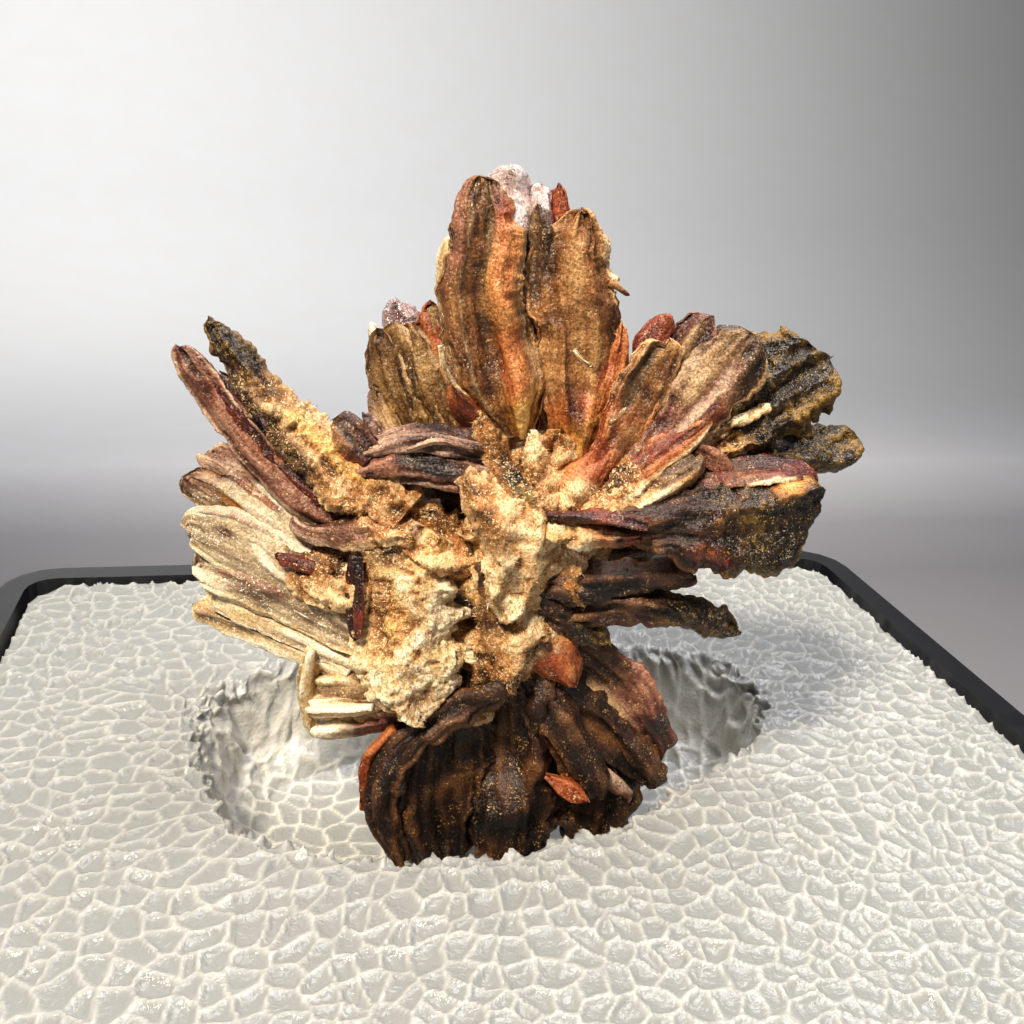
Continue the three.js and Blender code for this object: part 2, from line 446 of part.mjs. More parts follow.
function sectionFor(thick) {
  if (thick < SLIVER_TO) return SLIVER_SECTION;
  return thick < STOUT_FROM ? FLAT_SECTION : STOUT_SECTION;
}

// A blade's rings stand square to its spine; its width is opened out so that the face-on width
// holds however far the blade is turned.
function bladeGeometry({ depth, thick, turn, spine }) {
  const last = spine.length - 1;
  const depthAt = (i) => THREE.MathUtils.lerp(depth[0], depth[1], i / last);
  const centres = spine.map(([x, z], i) => place(x, z, depthAt(i)));
  const section = sectionFor(thick);
  const swing = degrees(turn);
  const widest = Math.max(...spine.map(([, , width]) => width));
  const rings = centres.map((centre, i) => {
    const along = centres[Math.min(i + 1, last)].clone().sub(centres[Math.max(i - 1, 0)]).normalize();
    const sideways = new THREE.Vector3(along.z, 0, -along.x).normalize();
    const inward = new THREE.Vector3().crossVectors(along, sideways).normalize();
    const across = sideways.clone().multiplyScalar(Math.cos(swing))
      .addScaledVector(inward, Math.sin(swing));
    const through = new THREE.Vector3().crossVectors(along, across);
    const half = spine[i][2] / 2 / Math.cos(swing) * (1 + centre.y / VIEW_DISTANCE);
    const taper = Math.sqrt(Math.min(1, spine[i][2] / widest));
    return section.map(([u, v]) => centre.clone()
      .addScaledVector(across, u * half)
      .addScaledVector(through, v * thick / 2 * taper));
  });
  return loft(rings);
}

// The whole cluster grew as one piece, so all its blades are joined in one solid.
function clusterGeometry() {
  const families = [
    crown, crystals, book, leftPair, bridge, fan, block, pillar, core, rightFan, darkFan,
    lowerBlade, bark, stem, back,
  ];
  const blades = families.flatMap((family) => Object.values(family));
  const solids = blades.map((blade) => solidOf(bladeGeometry(blade)));
  return geometryOf(solids.reduce((whole, solid) => whole.add(solid)));
}

// Mouldings and minerals alike are plain, non-metallic finishes.
function finish(color, roughness) {
  return new THREE.MeshStandardMaterial({ color, roughness, metalness: 0, flatShading: true });
}

const tray = new THREE.Mesh(trayGeometry(), finish(0x17181a, 0.35));
tray.name = 'tray';

const foam = new THREE.Mesh(foamGeometry(), finish(0xd9d8d2, 0.8));
foam.name = 'foam_insert';

const cluster = new THREE.Mesh(clusterGeometry(), finish(0x6f4a2c, 0.45));
cluster.name = 'goethite_cluster';

const stance = new THREE.Group();
stance.position.copy(HEART);
stance.rotation.set(degrees(FACING.pitch), degrees(FACING.roll), degrees(FACING.yaw), 'ZXY');
stance.add(cluster);

const specimen = new THREE.Group();
specimen.add(tray, foam, stance);

export default specimen;
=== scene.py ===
import itertools
import math

import bpy
import numpy as np
from mathutils import Euler, Matrix, Vector


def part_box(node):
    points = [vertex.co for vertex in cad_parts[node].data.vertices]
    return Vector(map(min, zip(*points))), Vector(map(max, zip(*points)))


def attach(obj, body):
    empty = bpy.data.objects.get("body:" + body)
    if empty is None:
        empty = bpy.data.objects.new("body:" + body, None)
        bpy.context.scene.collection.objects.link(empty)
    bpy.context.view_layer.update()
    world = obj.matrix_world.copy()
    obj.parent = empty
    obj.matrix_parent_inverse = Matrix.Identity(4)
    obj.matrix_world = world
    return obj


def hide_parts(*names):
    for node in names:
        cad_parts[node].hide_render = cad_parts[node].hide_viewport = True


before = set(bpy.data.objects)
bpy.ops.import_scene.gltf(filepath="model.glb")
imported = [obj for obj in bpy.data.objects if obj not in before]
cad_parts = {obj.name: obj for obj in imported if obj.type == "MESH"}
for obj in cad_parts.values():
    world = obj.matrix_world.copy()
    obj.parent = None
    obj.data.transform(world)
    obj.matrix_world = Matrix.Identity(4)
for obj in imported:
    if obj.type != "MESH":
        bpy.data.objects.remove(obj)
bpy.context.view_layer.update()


# The view. The specimen is seen from in front and a little above, with the near side of the
# tray out of frame. The same facing places the crystals: their x runs to the right of the
# picture, y away from the eye and z up, in millimetres from the heart of the cluster.
MM = 0.001
TRAY_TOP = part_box("tray")[1].z / MM
FACING = Euler((math.radians(-21.3), math.radians(-4.0), math.radians(-13.2)), "YXZ")
EYE_SPOT = Vector((-6.14, -19.98, TRAY_TOP + 16.19))
FOCAL_LENGTH = 36.2
SENSOR_WIDTH = 36

camera_data = bpy.data.cameras.new("camera")
camera_data.sensor_width = SENSOR_WIDTH
camera_data.lens = FOCAL_LENGTH
camera_data.clip_start = 1 * MM
camera_data.clip_end = 5
camera = bpy.data.objects.new("camera", camera_data)
bpy.context.scene.collection.objects.link(camera)
looking = FACING.to_matrix() @ Matrix.Rotation(math.radians(90), 3, "X")
camera.matrix_world = Matrix.Translation(EYE_SPOT * MM) @ looking.to_4x4()
bpy.context.scene.camera = camera


# The stage, which is no part of the object: a pale grey card that sweeps up behind it, a hard
# key light from the upper left in front, a wash on the backdrop, and weak light from above and
# from the right.
def linear(colour):
    """An sRGB hex colour as linear red, green, blue and alpha."""
    parts = [int(colour[i : i + 2], 16) / 255 for i in (1, 3, 5)]
    return (*[c / 12.92 if c <= 0.04045 else ((c + 0.055) / 1.055) ** 2.4 for c in parts], 1)


def wire(tree, node, links):
    """Links outputs of other nodes to the named inputs of a node."""
    for name, source in links.items():
        tree.links.new(source, node.inputs[name])


def add(tree, kind, settings=None, values=None, links=None):
    """Adds a node to a tree, with its settings, its inputs' values and what is linked to them."""
    node = tree.nodes.new(kind)
    for name, value in (settings or {}).items():
        setattr(node, name, value)
    for name, value in (values or {}).items():
        node.inputs[name].default_value = value
    wire(tree, node, links or {})
    return node


def new_material(name, values):
    """A material with one shader, whose constant inputs are given.

    Gives the material, its tree, its shader and the output with each point's place."""
    material = bpy.data.materials.new(name)
    material.use_nodes = True
    tree = material.node_tree
    tree.nodes.clear()
    shader = add(tree, "ShaderNodeBsdfPrincipled", values=values)
    add(tree, "ShaderNodeOutputMaterial", links={"Surface": shader.outputs["BSDF"]})
    return material, tree, shader, add(tree, "ShaderNodeTexCoord").outputs["Object"]


def new_piece(name, points, faces, materials):
    """A smooth mesh object at the origin, from points in millimetres and arrays of faces."""
    mesh = bpy.data.meshes.new(name)
    sizes = np.concatenate([np.full(len(group), group.shape[1]) for group in faces])
    corners = np.concatenate([group.ravel() for group in faces])
    mesh.vertices.add(len(points))
    mesh.vertices.foreach_set("co", (np.asarray(points) * MM).astype(np.float32).ravel())
    mesh.loops.add(len(corners))
    mesh.loops.foreach_set("vertex_index", corners.astype(np.int32))
    mesh.polygons.add(len(sizes))
    mesh.polygons.foreach_set("loop_start", (np.cumsum(sizes) - sizes).astype(np.int32))
    mesh.polygons.foreach_set("use_smooth", np.ones(len(sizes), bool))
    mesh.update(calc_edges=True)
    for material in materials:
        mesh.materials.append(material)
    piece = bpy.data.objects.new(name, mesh)
    bpy.context.scene.collection.objects.link(piece)
    return piece


def grid_faces(rows, columns, wrap=False):
    """The quads of a grid of points, row after row. Its columns may close into a ring."""
    index = np.arange(rows * columns).reshape(rows, columns)
    if wrap:
        index = np.column_stack([index, index[:, 0]])
    low, high = index[:-1], index[1:]
    return np.stack([low[:, :-1], low[:, 1:], high[:, 1:], high[:, :-1]], -1).reshape(-1, 4)


def spread_colours(tree, source, stops):
    """A ramp of colours, from (place, hex) stops, over a node's value from 0 to 1."""
    ramp = add(tree, "ShaderNodeValToRGB", links={"Fac": source})
    while len(ramp.color_ramp.elements) < len(stops):
        ramp.color_ramp.elements.new(0.5)
    for element, (place, colour) in zip(ramp.color_ramp.elements, stops):
        element.position = place
        element.color = linear(colour)
    return ramp.outputs["Color"]


def noise(tree, place, scale, detail=2, **values):
    """Noise over a place, with so many lumps to its unit of length."""
    values = {"Scale": scale, "Detail": detail, **values}
    return add(tree, "ShaderNodeTexNoise", None, values, {"Vector": place}).outputs["Fac"]


def stretched(tree, place, scale):
    """A place whose axes are each multiplied by a number of their own."""
    return add(
        tree, "ShaderNodeMapping", None, {"Scale": scale}, {"Vector": place}
    ).outputs["Vector"]


def ranged(tree, value, source, target=(0, 1)):
    """A value moved from one range to another, and kept inside it."""
    ends = dict(zip(("From Min", "From Max", "To Min", "To Max"), (*source, *target)))
    return add(tree, "ShaderNodeMapRange", None, ends, {"Value": value}).outputs["Result"]


def bumped(tree, height, strength, depth):
    """Normals tilted by a height from 0 to 1, where 1 stands for a depth in millimetres."""
    values = {"Strength": strength, "Distance": depth * MM}
    return add(tree, "ShaderNodeBump", None, values, {"Height": height}).outputs["Normal"]


STAGE_REACH = 600
SWEEP_START = 70
SWEEP_RADIUS = 90
SWEEP_ROWS = 25
arc = np.radians(np.linspace(0, 90, SWEEP_ROWS))
sweep_y = [-STAGE_REACH, *(SWEEP_START + SWEEP_RADIUS * np.sin(arc))]
sweep_z = [0, *(SWEEP_RADIUS * (1 - np.cos(arc)))]
sweep_y.append(sweep_y[-1])
sweep_z.append(STAGE_REACH)
sweep = [(side * STAGE_REACH, y, z) for y, z in zip(sweep_y, sweep_z) for side in (-1, 1)]

# Matt painted card: even and pale, with a faint tooth that breaks up its flat tone.
card, card_tree, card_shader, card_place = new_material("matt_card", {"Roughness": 0.9})
card_colour = spread_colours(
    card_tree, noise(card_tree, card_place, 300), [(0.3, "#cacacb"), (0.7, "#ccccce")]
)
# Painted shade: it is painted darkest under the tray and just behind it, for the tray's shadow, and a
# little darker again where it stands up, for the light's fall-off.
card_way = add(card_tree, "ShaderNodeSeparateXYZ", links={"Vector": card_place})
card_painted_shade = spread_colours(
    card_tree, ranged(card_tree, card_way.outputs["Y"], (25 * MM, 130 * MM)),
    [(0.05, "#8f8f92"), (0.12, "#aaaaad"), (0.24, "#fbfbfb"), (0.56, "#f4f4f4"), (0.86, "#e6e6e7")],
)
card_tone = add(
    card_tree, "ShaderNodeMixRGB", {"blend_type": "MULTIPLY"}, {"Fac": 1},
    {"Color1": card_colour, "Color2": card_painted_shade},
)
wire(card_tree, card_shader, {"Base Color": card_tone.outputs["Color"]})
floor = new_piece("floor", sweep, [grid_faces(len(sweep_y), 2)], [card])


def shine(name, kind, spot, target, watts, colour, **settings):
    """A light at one spot that points at another, both in millimetres."""
    data = bpy.data.lights.new(name, kind)
    data.energy = watts
    data.color = linear(colour)[:3]
    for setting, value in settings.items():
        setattr(data, setting, value)
    light = bpy.data.objects.new(name, data)
    bpy.context.scene.collection.objects.link(light)
    aim = Vector(target) - Vector(spot)
    turn = aim.to_track_quat("-Z", "Y").to_matrix().to_4x4()
    light.matrix_world = Matrix.Translation(Vector(spot) * MM) @ turn


CLUSTER_MIDDLE = (0, 2, 12)
shine("key", "SPOT", (-58, -58, 131), CLUSTER_MIDDLE, 1.5, "#fff2df",
      spot_size=math.radians(32), spot_blend=1, shadow_soft_size=14 * MM)
shine("wash", "SPOT", (-50, 20, 130), (-15, 160, 50), 1.7, "#fdfcf8",
      spot_size=math.radians(105), spot_blend=1, shadow_soft_size=20 * MM)
shine("top", "AREA", (16, 12, 72), (2, 4, 6), 0.055, "#fbfaff", size=45 * MM)
shine("right_fill", "AREA", (90, -60, 60), CLUSTER_MIDDLE, 0.012, "#f4f4ff", size=60 * MM)

world = bpy.data.worlds.new("pale_room")
world.use_nodes = True
room_light = world.node_tree.nodes["Background"].inputs
room_light["Color"].default_value = linear("#e6e4e2")
room_light["Strength"].default_value = 0.11
bpy.context.scene.world = world
bpy.context.scene.view_settings.view_transform = "Standard"


# The tray: the base of a small specimen box, injection-moulded in black polystyrene. It is
# glossy, with slightly rubbed patches and fine straight scratches.
tray_plastic, tray_tree, tray_shader, tray_place = new_material(
    "moulded_black_polystyrene", {"Base Color": linear("#121317"), "IOR": 1.59}
)
# A rubbed patch is about a millimetre across. A scratch is three long and a tenth of one wide.
tray_rub = noise(tray_tree, tray_place, 900, 4)
tray_scratch = noise(tray_tree, stretched(tray_tree, tray_place, (9000, 350, 350)), 1)
wire(tray_tree, tray_shader, {
    "Roughness": ranged(tray_tree, tray_rub, (0, 1), (0.22, 0.42)),
    "Normal": bumped(tray_tree, tray_scratch, 0.25, 0.02),
})
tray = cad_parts["tray"]
tray.data.materials.clear()
tray.data.materials.append(tray_plastic)


# The foam insert: white expanded polyethylene, cut to fill the tray, with a pit pressed and
# torn into it where the specimen stands. Each cut cell is a shallow bowl between thin walls.

# Odd numbers that scatter the bits of a seed and of a grid place.
SEED_STEP, SEED_START = 40503, 977
SCATTER, LAST_SCATTER = np.uint32(2246822519), np.uint32(3266489917)


def lattice(cells, seed):
    """A random value from 0 to 1 for each whole-numbered place of a grid."""
    mixed = np.full(cells.shape[:-1], seed * SEED_STEP + SEED_START, np.uint32)
    for axis in range(cells.shape[-1]):
        mixed ^= cells[..., axis].astype(np.int64).astype(np.uint32)
        mixed *= SCATTER
        mixed ^= mixed >> np.uint32(15)
    mixed *= LAST_SCATTER
    mixed ^= mixed >> np.uint32(13)
    return (mixed / 2**32).astype(np.float32)


# Added octaves crowd round nought, and this spreads them again.
CLOUD_GAIN = 1.6


def cloud(points, size, seed, octaves=3):
    """Smooth noise from about -1 to 1, whose broadest lumps measure size on each axis."""
    total, weight = 0, 0
    for octave in range(octaves):
        spot = points / np.asarray(size) * 2**octave
        low = np.floor(spot)
        part = spot - low
        part = part * part * (3 - 2 * part)
        value = 0
        for corner in itertools.product((0, 1), repeat=points.shape[-1]):
            share = np.prod(np.where(corner, part, 1 - part), axis=-1)
            value = value + share * lattice(low + corner, seed * 8 + octave)
        total = total + (2 * value - 1) / 2**octave
        weight += 1 / 2**octave
    return total / weight * CLOUD_GAIN


def cell_pattern(points, size, seed):
    """Random cells over flat points: the way to each point's seed, its wall and its number."""
    spot = points / np.asarray(size)
    low = np.floor(spot)
    ways, numbers = [], []
    # A cell's seed keeps a tenth of its square away from the square's edges.
    for step in itertools.product((-1, 0, 1), repeat=2):
        home = low + step
        seat = np.stack([lattice(home, seed), lattice(home, seed + 1)], -1) * 0.8 + 0.1
        ways.append(home + seat - spot)
        numbers.append(lattice(home, seed + 2))
    ways, numbers = np.array(ways), np.array(numbers)
    lengths = np.sum(ways**2, -1)
    first = np.argmin(lengths, 0)
    near = np.take_along_axis(ways, first[None, ..., None], 0)[0]
    apart = ways - near
    gap = np.sqrt(np.sum(apart**2, -1))
    wall = np.sum((ways + near) / 2 * apart, -1) / np.maximum(gap, 1e-6)
    wall = np.min(np.where(gap > 1e-5, wall, 9), 0)
    return near, wall, np.take_along_axis(numbers, first[None], 0)[0]


def peak(way, width):
    """1 where the way is nought, and less on both sides of it over about one width."""
    return np.exp(-((way / width) ** 2))


def grid_normals(points, wrap=False):
    """The unit normals of a grid of points, rows by columns."""
    down = np.gradient(points, axis=0)
    if wrap:
        around = np.roll(points, -1, 1) - np.roll(points, 1, 1)
    else:
        around = np.gradient(points, axis=1)
    normals = np.cross(around, down)
    return normals / np.maximum(np.linalg.norm(normals, axis=-1, keepdims=True), 1e-9)


FOAM_LOW, FOAM_HIGH = (np.array(corner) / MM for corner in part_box("foam_insert"))
FOAM_HALF = FOAM_HIGH[0]
FOAM_CORNER = 1.6
PIT_MIDDLE = np.array((-0.2, 3.9))
PIT_RIM = np.array([
    (8.4, 5.4), (7.9, 7.3), (5.8, 8.4), (3.1, 9), (0, 9.3), (-3.2, 9.1), (-6.2, 8.5), (-8.3, 7.4),
    (-8.9, 5.6), (-8.5, 3.4), (-7.3, 0.6), (-5.3, -0.2), (-2.6, -0.8), (0.2, -0.5), (2.5, 0.4),
    (4.5, 1.4), (6.2, 2.6), (7.7, 3.9),
])
# The pit's profile: for a share of the way to its rim on the flat grid, where the wall goes.
PIT_SHARE = [0, 0.55, 0.66, 0.84, 0.97, 1.05, 1.15, 1.4, 40]
PIT_REACH = [0, 0.66, 0.78, 0.90, 0.965, 1.0, 1.08, 1.4, 40]
PIT_SINK = [-3.5, -3.48, -3.25, -2.3, -0.55, -0.1, 0, 0, 0]
CELL_SIZE = 0.6
# The bowls' walls lie this far below the foam's top, and its torn bits reach this far above.
CUT_SINK, TORN_LIMIT = 0.12, 0.25
# How deep the shallowest bowl is, how much deeper the deepest, and how far from its wall a bowl
# reaches its full depth.
BOWL_DEPTH, BOWL_EXTRA, BOWL_REACH = 0.05, 0.12, 0.4
# The raised lips along the walls, and the thinner skins, whose cells are smaller.
LIP_RISE, LIP_WIDTH = 0.055, 0.07
SKIN_CELL, SKIN_RISE, SKIN_WIDTH = 0.33, 0.03, 0.05
# Torn skin stands up where the way to the pit's rim is just over 1, give or take this width.
TORN_AT, TORN_RISE, TORN_WIDTH = 1.02, 0.32, 0.045
# The mesh has finer rows between these two y, where the eye is near, and wider ones elsewhere.
NEAR_START, NEAR_END = -8.5, 7.5
NEAR_ROW, WIDE_ROW, COLUMN_STEP = 0.068, 0.12, 0.078

near_y = np.arange(NEAR_START, NEAR_END, NEAR_ROW)
grid_y = np.concatenate([
    np.arange(-FOAM_HALF, NEAR_START, WIDE_ROW), near_y,
    np.arange(near_y[-1] + 0.1, FOAM_HALF, WIDE_ROW), [FOAM_HALF],
])
grid_x = np.linspace(-FOAM_HALF, FOAM_HALF, int(2 * FOAM_HALF / COLUMN_STEP))
flat = np.stack(np.meshgrid(grid_x, grid_y), -1)

# The square's corners are rounded by drawing each point in towards the corner's arc.
reach = FOAM_HALF - FOAM_CORNER
over = np.maximum(np.abs(flat) - reach, 0) / FOAM_CORNER
round_in = np.maximum(over.max(-1), 1e-9) / np.maximum(np.linalg.norm(over, axis=-1), 1e-9)
corner = np.minimum(np.abs(flat), reach) + over * FOAM_CORNER * np.minimum(round_in, 1)[..., None]
outline = np.sign(flat) * np.where(over.min(-1)[..., None] > 0, corner, np.abs(flat))

rim_way = PIT_RIM - PIT_MIDDLE
rim_angle = np.arctan2(rim_way[:, 1], rim_way[:, 0])
order = np.argsort(rim_angle)
way = outline - PIT_MIDDLE
angle = np.arctan2(way[..., 1], way[..., 0])
rim = np.interp(
    angle, rim_angle[order], np.linalg.norm(rim_way, axis=1)[order], period=2 * math.pi
)
distance = np.linalg.norm(way, axis=-1)
# The pit's rim wavers a little. Near the foam's sides the grid stays where it is.
share = distance / rim + 0.03 * cloud(outline, 1.3, 5)
moved = np.interp(share, PIT_SHARE, PIT_REACH) / np.maximum(share, 1e-6)
sink = np.interp(share, PIT_SHARE, PIT_SINK)
still = np.clip((FOAM_HALF - np.abs(flat).max(-1)) / 1.5, 0, 1)[..., None]
place_xy = PIT_MIDDLE + way * (1 + (moved[..., None] - 1) * still)
top = FOAM_HIGH[2] - CUT_SINK
base = np.concatenate([place_xy, (top + sink)[..., None]], -1)

# Bowls and walls. Most cells are cut shallow, and a few deep. Their walls bend a little.
skew = outline + 0.09 * np.stack([cloud(outline, 0.6, 11), cloud(outline, 0.6, 12)], -1)
skew += 0.3 * np.stack([cloud(outline, 2.2, 13, 2), cloud(outline, 2.2, 14, 2)], -1)
_, wall, number = cell_pattern(skew, CELL_SIZE, 21)
bowl = BOWL_DEPTH + BOWL_EXTRA * number**2
pressed = np.clip((share - 0.5) / 0.35, 0.25, 1)
open_share = np.clip(wall / BOWL_REACH, 0, 1)
dish = bowl * open_share * (2 - open_share) - 0.012 * cloud(outline, 0.2, 33, 2)
lip = LIP_RISE * peak(wall, LIP_WIDTH) * (0.55 + 0.9 * cloud(outline, 0.35, 31, 2))
# Thinner skins cross some of the cells.
skin_wall = cell_pattern(skew + 7, SKIN_CELL, 51)[1]
lip += SKIN_RISE * peak(skin_wall, SKIN_WIDTH) * (number > 0.6)
swell = 0.06 * cloud(outline, 2.6, 41) + 0.02 * cloud(outline, 0.8, 42)
# The pit's rim is torn, so bits of skin stand up along it.
torn = peak(share - TORN_AT, TORN_WIDTH) * np.clip(cloud(outline, 0.24, 43, 2), 0, 1)
height = (lip - dish) * pressed + swell + TORN_RISE * torn
up = grid_normals(base)
up = up * np.sign(up[..., 2:3] + 1e-9)
foam_grid = base + up * height[..., None]
foam_grid[..., 2] = np.minimum(foam_grid[..., 2], FOAM_HIGH[2] + TORN_LIMIT)

# The sides go straight down, and the bottom closes at its middle.
rows, columns = foam_grid.shape[:2]
index = np.arange(rows * columns).reshape(rows, columns)
brim = np.concatenate([index[0, :-1], index[:-1, -1], index[-1, :0:-1], index[:0:-1, 0]])
foam_points = foam_grid.reshape(-1, 3)
foot = foam_points[brim] * (1, 1, 0) + (0, 0, FOAM_LOW[2])
first_foot = len(foam_points)
foot_index = first_foot + np.arange(len(brim))
after = np.roll(np.arange(len(brim)), -1)
skirt = np.stack([brim, foot_index, foot_index[after], brim[after]], -1)
middle = first_foot + len(brim)
under = np.stack([foot_index, np.full(len(brim), middle), foot_index[after]], -1)
foam_points = np.concatenate([foam_points, foot, [(0, 0, FOAM_LOW[2])]])


def store(piece, name, values, kind="FLOAT"):
    """Keeps one value or colour for each point of a piece, for its material to read."""
    attribute = piece.data.attributes.new(name, kind, "POINT")
    field = "value" if kind == "FLOAT" else "color"
    attribute.data.foreach_set(field, np.asarray(values, np.float32).ravel())


# Expanded polyethylene is milky and waxy. Painted light: its thin walls are painted paler, for the light
# they let through.
foam_white, foam_tree, foam_shader, foam_place = new_material(
    "white_polyethylene_foam", {"Roughness": 0.16, "IOR": 1.5, "Sheen Weight": 0.1}
)
foam_painted_light = add(foam_tree, "ShaderNodeAttribute", {"attribute_name": "Painted_Light"}).outputs["Fac"]
# Creases in the skin of a cell are about a tenth of a millimetre apart.
foam_crease = noise(foam_tree, foam_place, 7000, 3, Distortion=0.6)
wire(foam_tree, foam_shader, {
    # Its colour pales with the painted light, from the bowls to the walls and the pit.
    "Base Color": spread_colours(
        foam_tree, foam_painted_light,
        [(0, "#8b8d8a"), (0.3, "#989995"), (0.65, "#adada6"), (1, "#d9d6cb")],
    ),
    "Normal": bumped(foam_tree, foam_crease, 0.8, 0.05),
})
foam = new_piece(
    "torn_foam_pad", foam_points, [grid_faces(rows, columns), skirt, under], [foam_white]
)
# Painted light: the thin walls are painted paler for the light they pass, and the foam in and round the
# pit paler still, for the light that fills its shade.
painted_foam_light = 0.75 * peak(wall, 0.085) + 0.3 * (share < 1) + 0.6 * peak(share - 0.86, 0.16)
store(foam, "Painted_Light", np.append(np.minimum(painted_foam_light, 1).ravel(), np.zeros(len(foot) + 1)))
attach(foam, "root")
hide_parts("foam_insert")


# The crown: the tallest blades, which stand straight up. They are flat crystals of goethite,
# ribbed along their length, that grew side by side from the heart, with rust-red creases.

# The heart's place in the part, and the turn from the face-on view to the part's axes.
HEART = np.array((-0.24, 2.84, 13.76))
FACE_TURN = np.array(FACING.to_matrix())
# Blades are laid out face-on, on a plane this far from the eye, which faces it at the point EYE.
# Their depths count back from a plane that leans towards the eye as it rises.
VIEW_DISTANCE = 25.75
EYE = np.array((-0.45, 1.2))
LEAN = 0.27
# The length of the mesh's edges, on the blades that are seen well and on the rest.
FINE_STEP = 0.042
COARSE_STEP = 0.06


def place(across, up, depth):
    """Points of the face-on picture, spread with their depth so that they keep their outline."""
    away = depth - LEAN * up
    spread = 1 + away / VIEW_DISTANCE
    flat = [EYE[0] + (across - EYE[0]) * spread, away, EYE[1] + (up - EYE[1]) * spread]
    return np.stack(flat, -1), spread


# Points of a spine's curve for each of its stations.
CURVE_POINTS = 30


def follow(stations, step):
    """An even, smooth run of points through a blade's stations, and its distance along."""
    knots = np.vstack([2 * stations[0] - stations[1], stations, 2 * stations[-1] - stations[-2]])
    time = np.linspace(0, len(stations) - 1, CURVE_POINTS * len(stations))
    low = np.minimum(time.astype(int), len(stations) - 2)
    part = (time - low)[:, None]
    before, start, end, after = (knots[low + shift] for shift in range(4))
    curve = 0.5 * (
        2 * start + (end - before) * part
        + (2 * before - 5 * start + 4 * end - after) * part**2
        + (3 * start - before - 3 * end + after) * part**3
    )
    length = np.append(0, np.cumsum(np.linalg.norm(np.diff(curve[:, :2], axis=0), axis=1)))
    count = max(8, int(length[-1] / step))
    along = np.linspace(0, length[-1], count)
    return np.stack([np.interp(along, length, column) for column in curve.T], -1), along


def flow(around, along, width, length, seed, octaves=3):
    """Noise drawn out along a blade."""
    return cloud(np.stack([around, along], -1), (width, length), seed, octaves)


def silky(around, along, points, seed):
    """Fine lengthwise ribs, and the low steps where one layer ends over the next."""
    layer = flow(around, along, 0.5, 2.2, seed) + 0.4 * cloud(points, 0.5, seed + 3, 2)
    steps = np.floor(layer * 3) / 3
    ribs = flow(around, along, 0.11, 1.6, seed + 1)
    return 0.05 * steps + 0.032 * ribs + 0.022 * cloud(points, 0.25, seed + 2)


# Each finish has its surface, and its colours from the hollows to the raised rims: partly its own tones,
# and partly painted shade in the hollows and painted light on the rims.
FINISHES = {
    "tan": ("silky", "#3c1b0b", "#855428", "#cb9a5e"),
    "dust": ("silky", "#3b2716", "#7d5c3b", "#c09a6c"),
    "umber": ("silky", "#120a05", "#3d2714", "#7a5832"),
    "plum": ("silky", "#200b08", "#5b2d20", "#a56f55"),
    "ember": ("silky", "#4c1a0a", "#974317", "#c97a42"),
    "ochre": ("silky", "#4f2b0a", "#b0702a", "#eebc68"),
    "straw": ("crusted", "#6a4220", "#cf9c5e", "#fbe8bd"),
    "oxblood": ("silky", "#160302", "#4c170b", "#8f4020"),
}
# Each surface has its relief, how ragged its edges are, and its material. A relief adds up noises,
# each with its height before it and its size inside it, both in millimetres.
SURFACES = {}


def tinted(finish, level, mottle):
    """The colour of each point of a finish, from its relief, painted darker in hollows and paler on
    raised parts, and a slow drift of tone.
    """
    deep, body, light = (np.array(linear(colour)[:3]) for colour in FINISHES[finish][1:])
    tone = np.clip(0.5 + 0.5 * level + 0.45 * mottle, 0, 1)[..., None]
    low = deep + (body - deep) * np.minimum(tone * 2, 1)
    return low + (light - low) * np.maximum(tone * 2 - 1, 0)


def unit(vectors):
    """Vectors of the same directions that are one long."""
    return vectors / np.linalg.norm(vectors, axis=-1, keepdims=True)


def evened(values):
    """Values moved and spread so that their mean is nought and their usual distance from it 1."""
    return (values - values.mean()) / (values.std() + 1e-6)


def carry(spine, depths, turn, step):
    """A blade's middle line, its half-widths, its distance along and its three directions."""
    stations = np.array(spine, float)
    reach = np.append(0, np.cumsum(np.linalg.norm(np.diff(stations[:, :2], axis=0), axis=1)))
    deep = depths[0] + (depths[1] - depths[0]) * reach / reach[-1]
    run, along = follow(np.column_stack([stations, deep]), step)
    middle, spread = place(run[:, 0], run[:, 1], run[:, 3])
    forward = unit(np.gradient(middle, axis=0))
    sideways = unit(np.stack([forward[:, 2], np.zeros(len(run)), -forward[:, 0]], -1))
    turned = math.radians(turn)
    across = sideways * math.cos(turned) + np.cross(forward, sideways) * math.sin(turned)
    half = run[:, 2] / 2 / math.cos(turned) * spread
    return middle, half, along, (forward, across, np.cross(forward, across))


# A rib fades in and out over this share of the blade's length, and wanders this far across it.
RIB_FADE, RIB_WANDER = 0.12, 0.04


def rib_shares(ribs, across, along, part, seed):
    """How much of each rib's rise a point has, from 0 to 1. The ribs wander a little."""
    shares = []
    for spot, _, breadth, _, *span in ribs:
        first, final = span or (-1, 2)
        held = np.clip(np.minimum(part - first, final - part) / RIB_FADE, 0, 1)
        low, high = spot if isinstance(spot, tuple) else (spot, spot)
        drift = flow(along * 0, along, 1, 2.5, seed + 30 + len(shares), 1)
        wander = low + (high - low) * part + RIB_WANDER * drift
        shares.append(np.clip(1 - np.abs(across - wander) / breadth, 0, 1) ** 0.8 * held)
    return shares


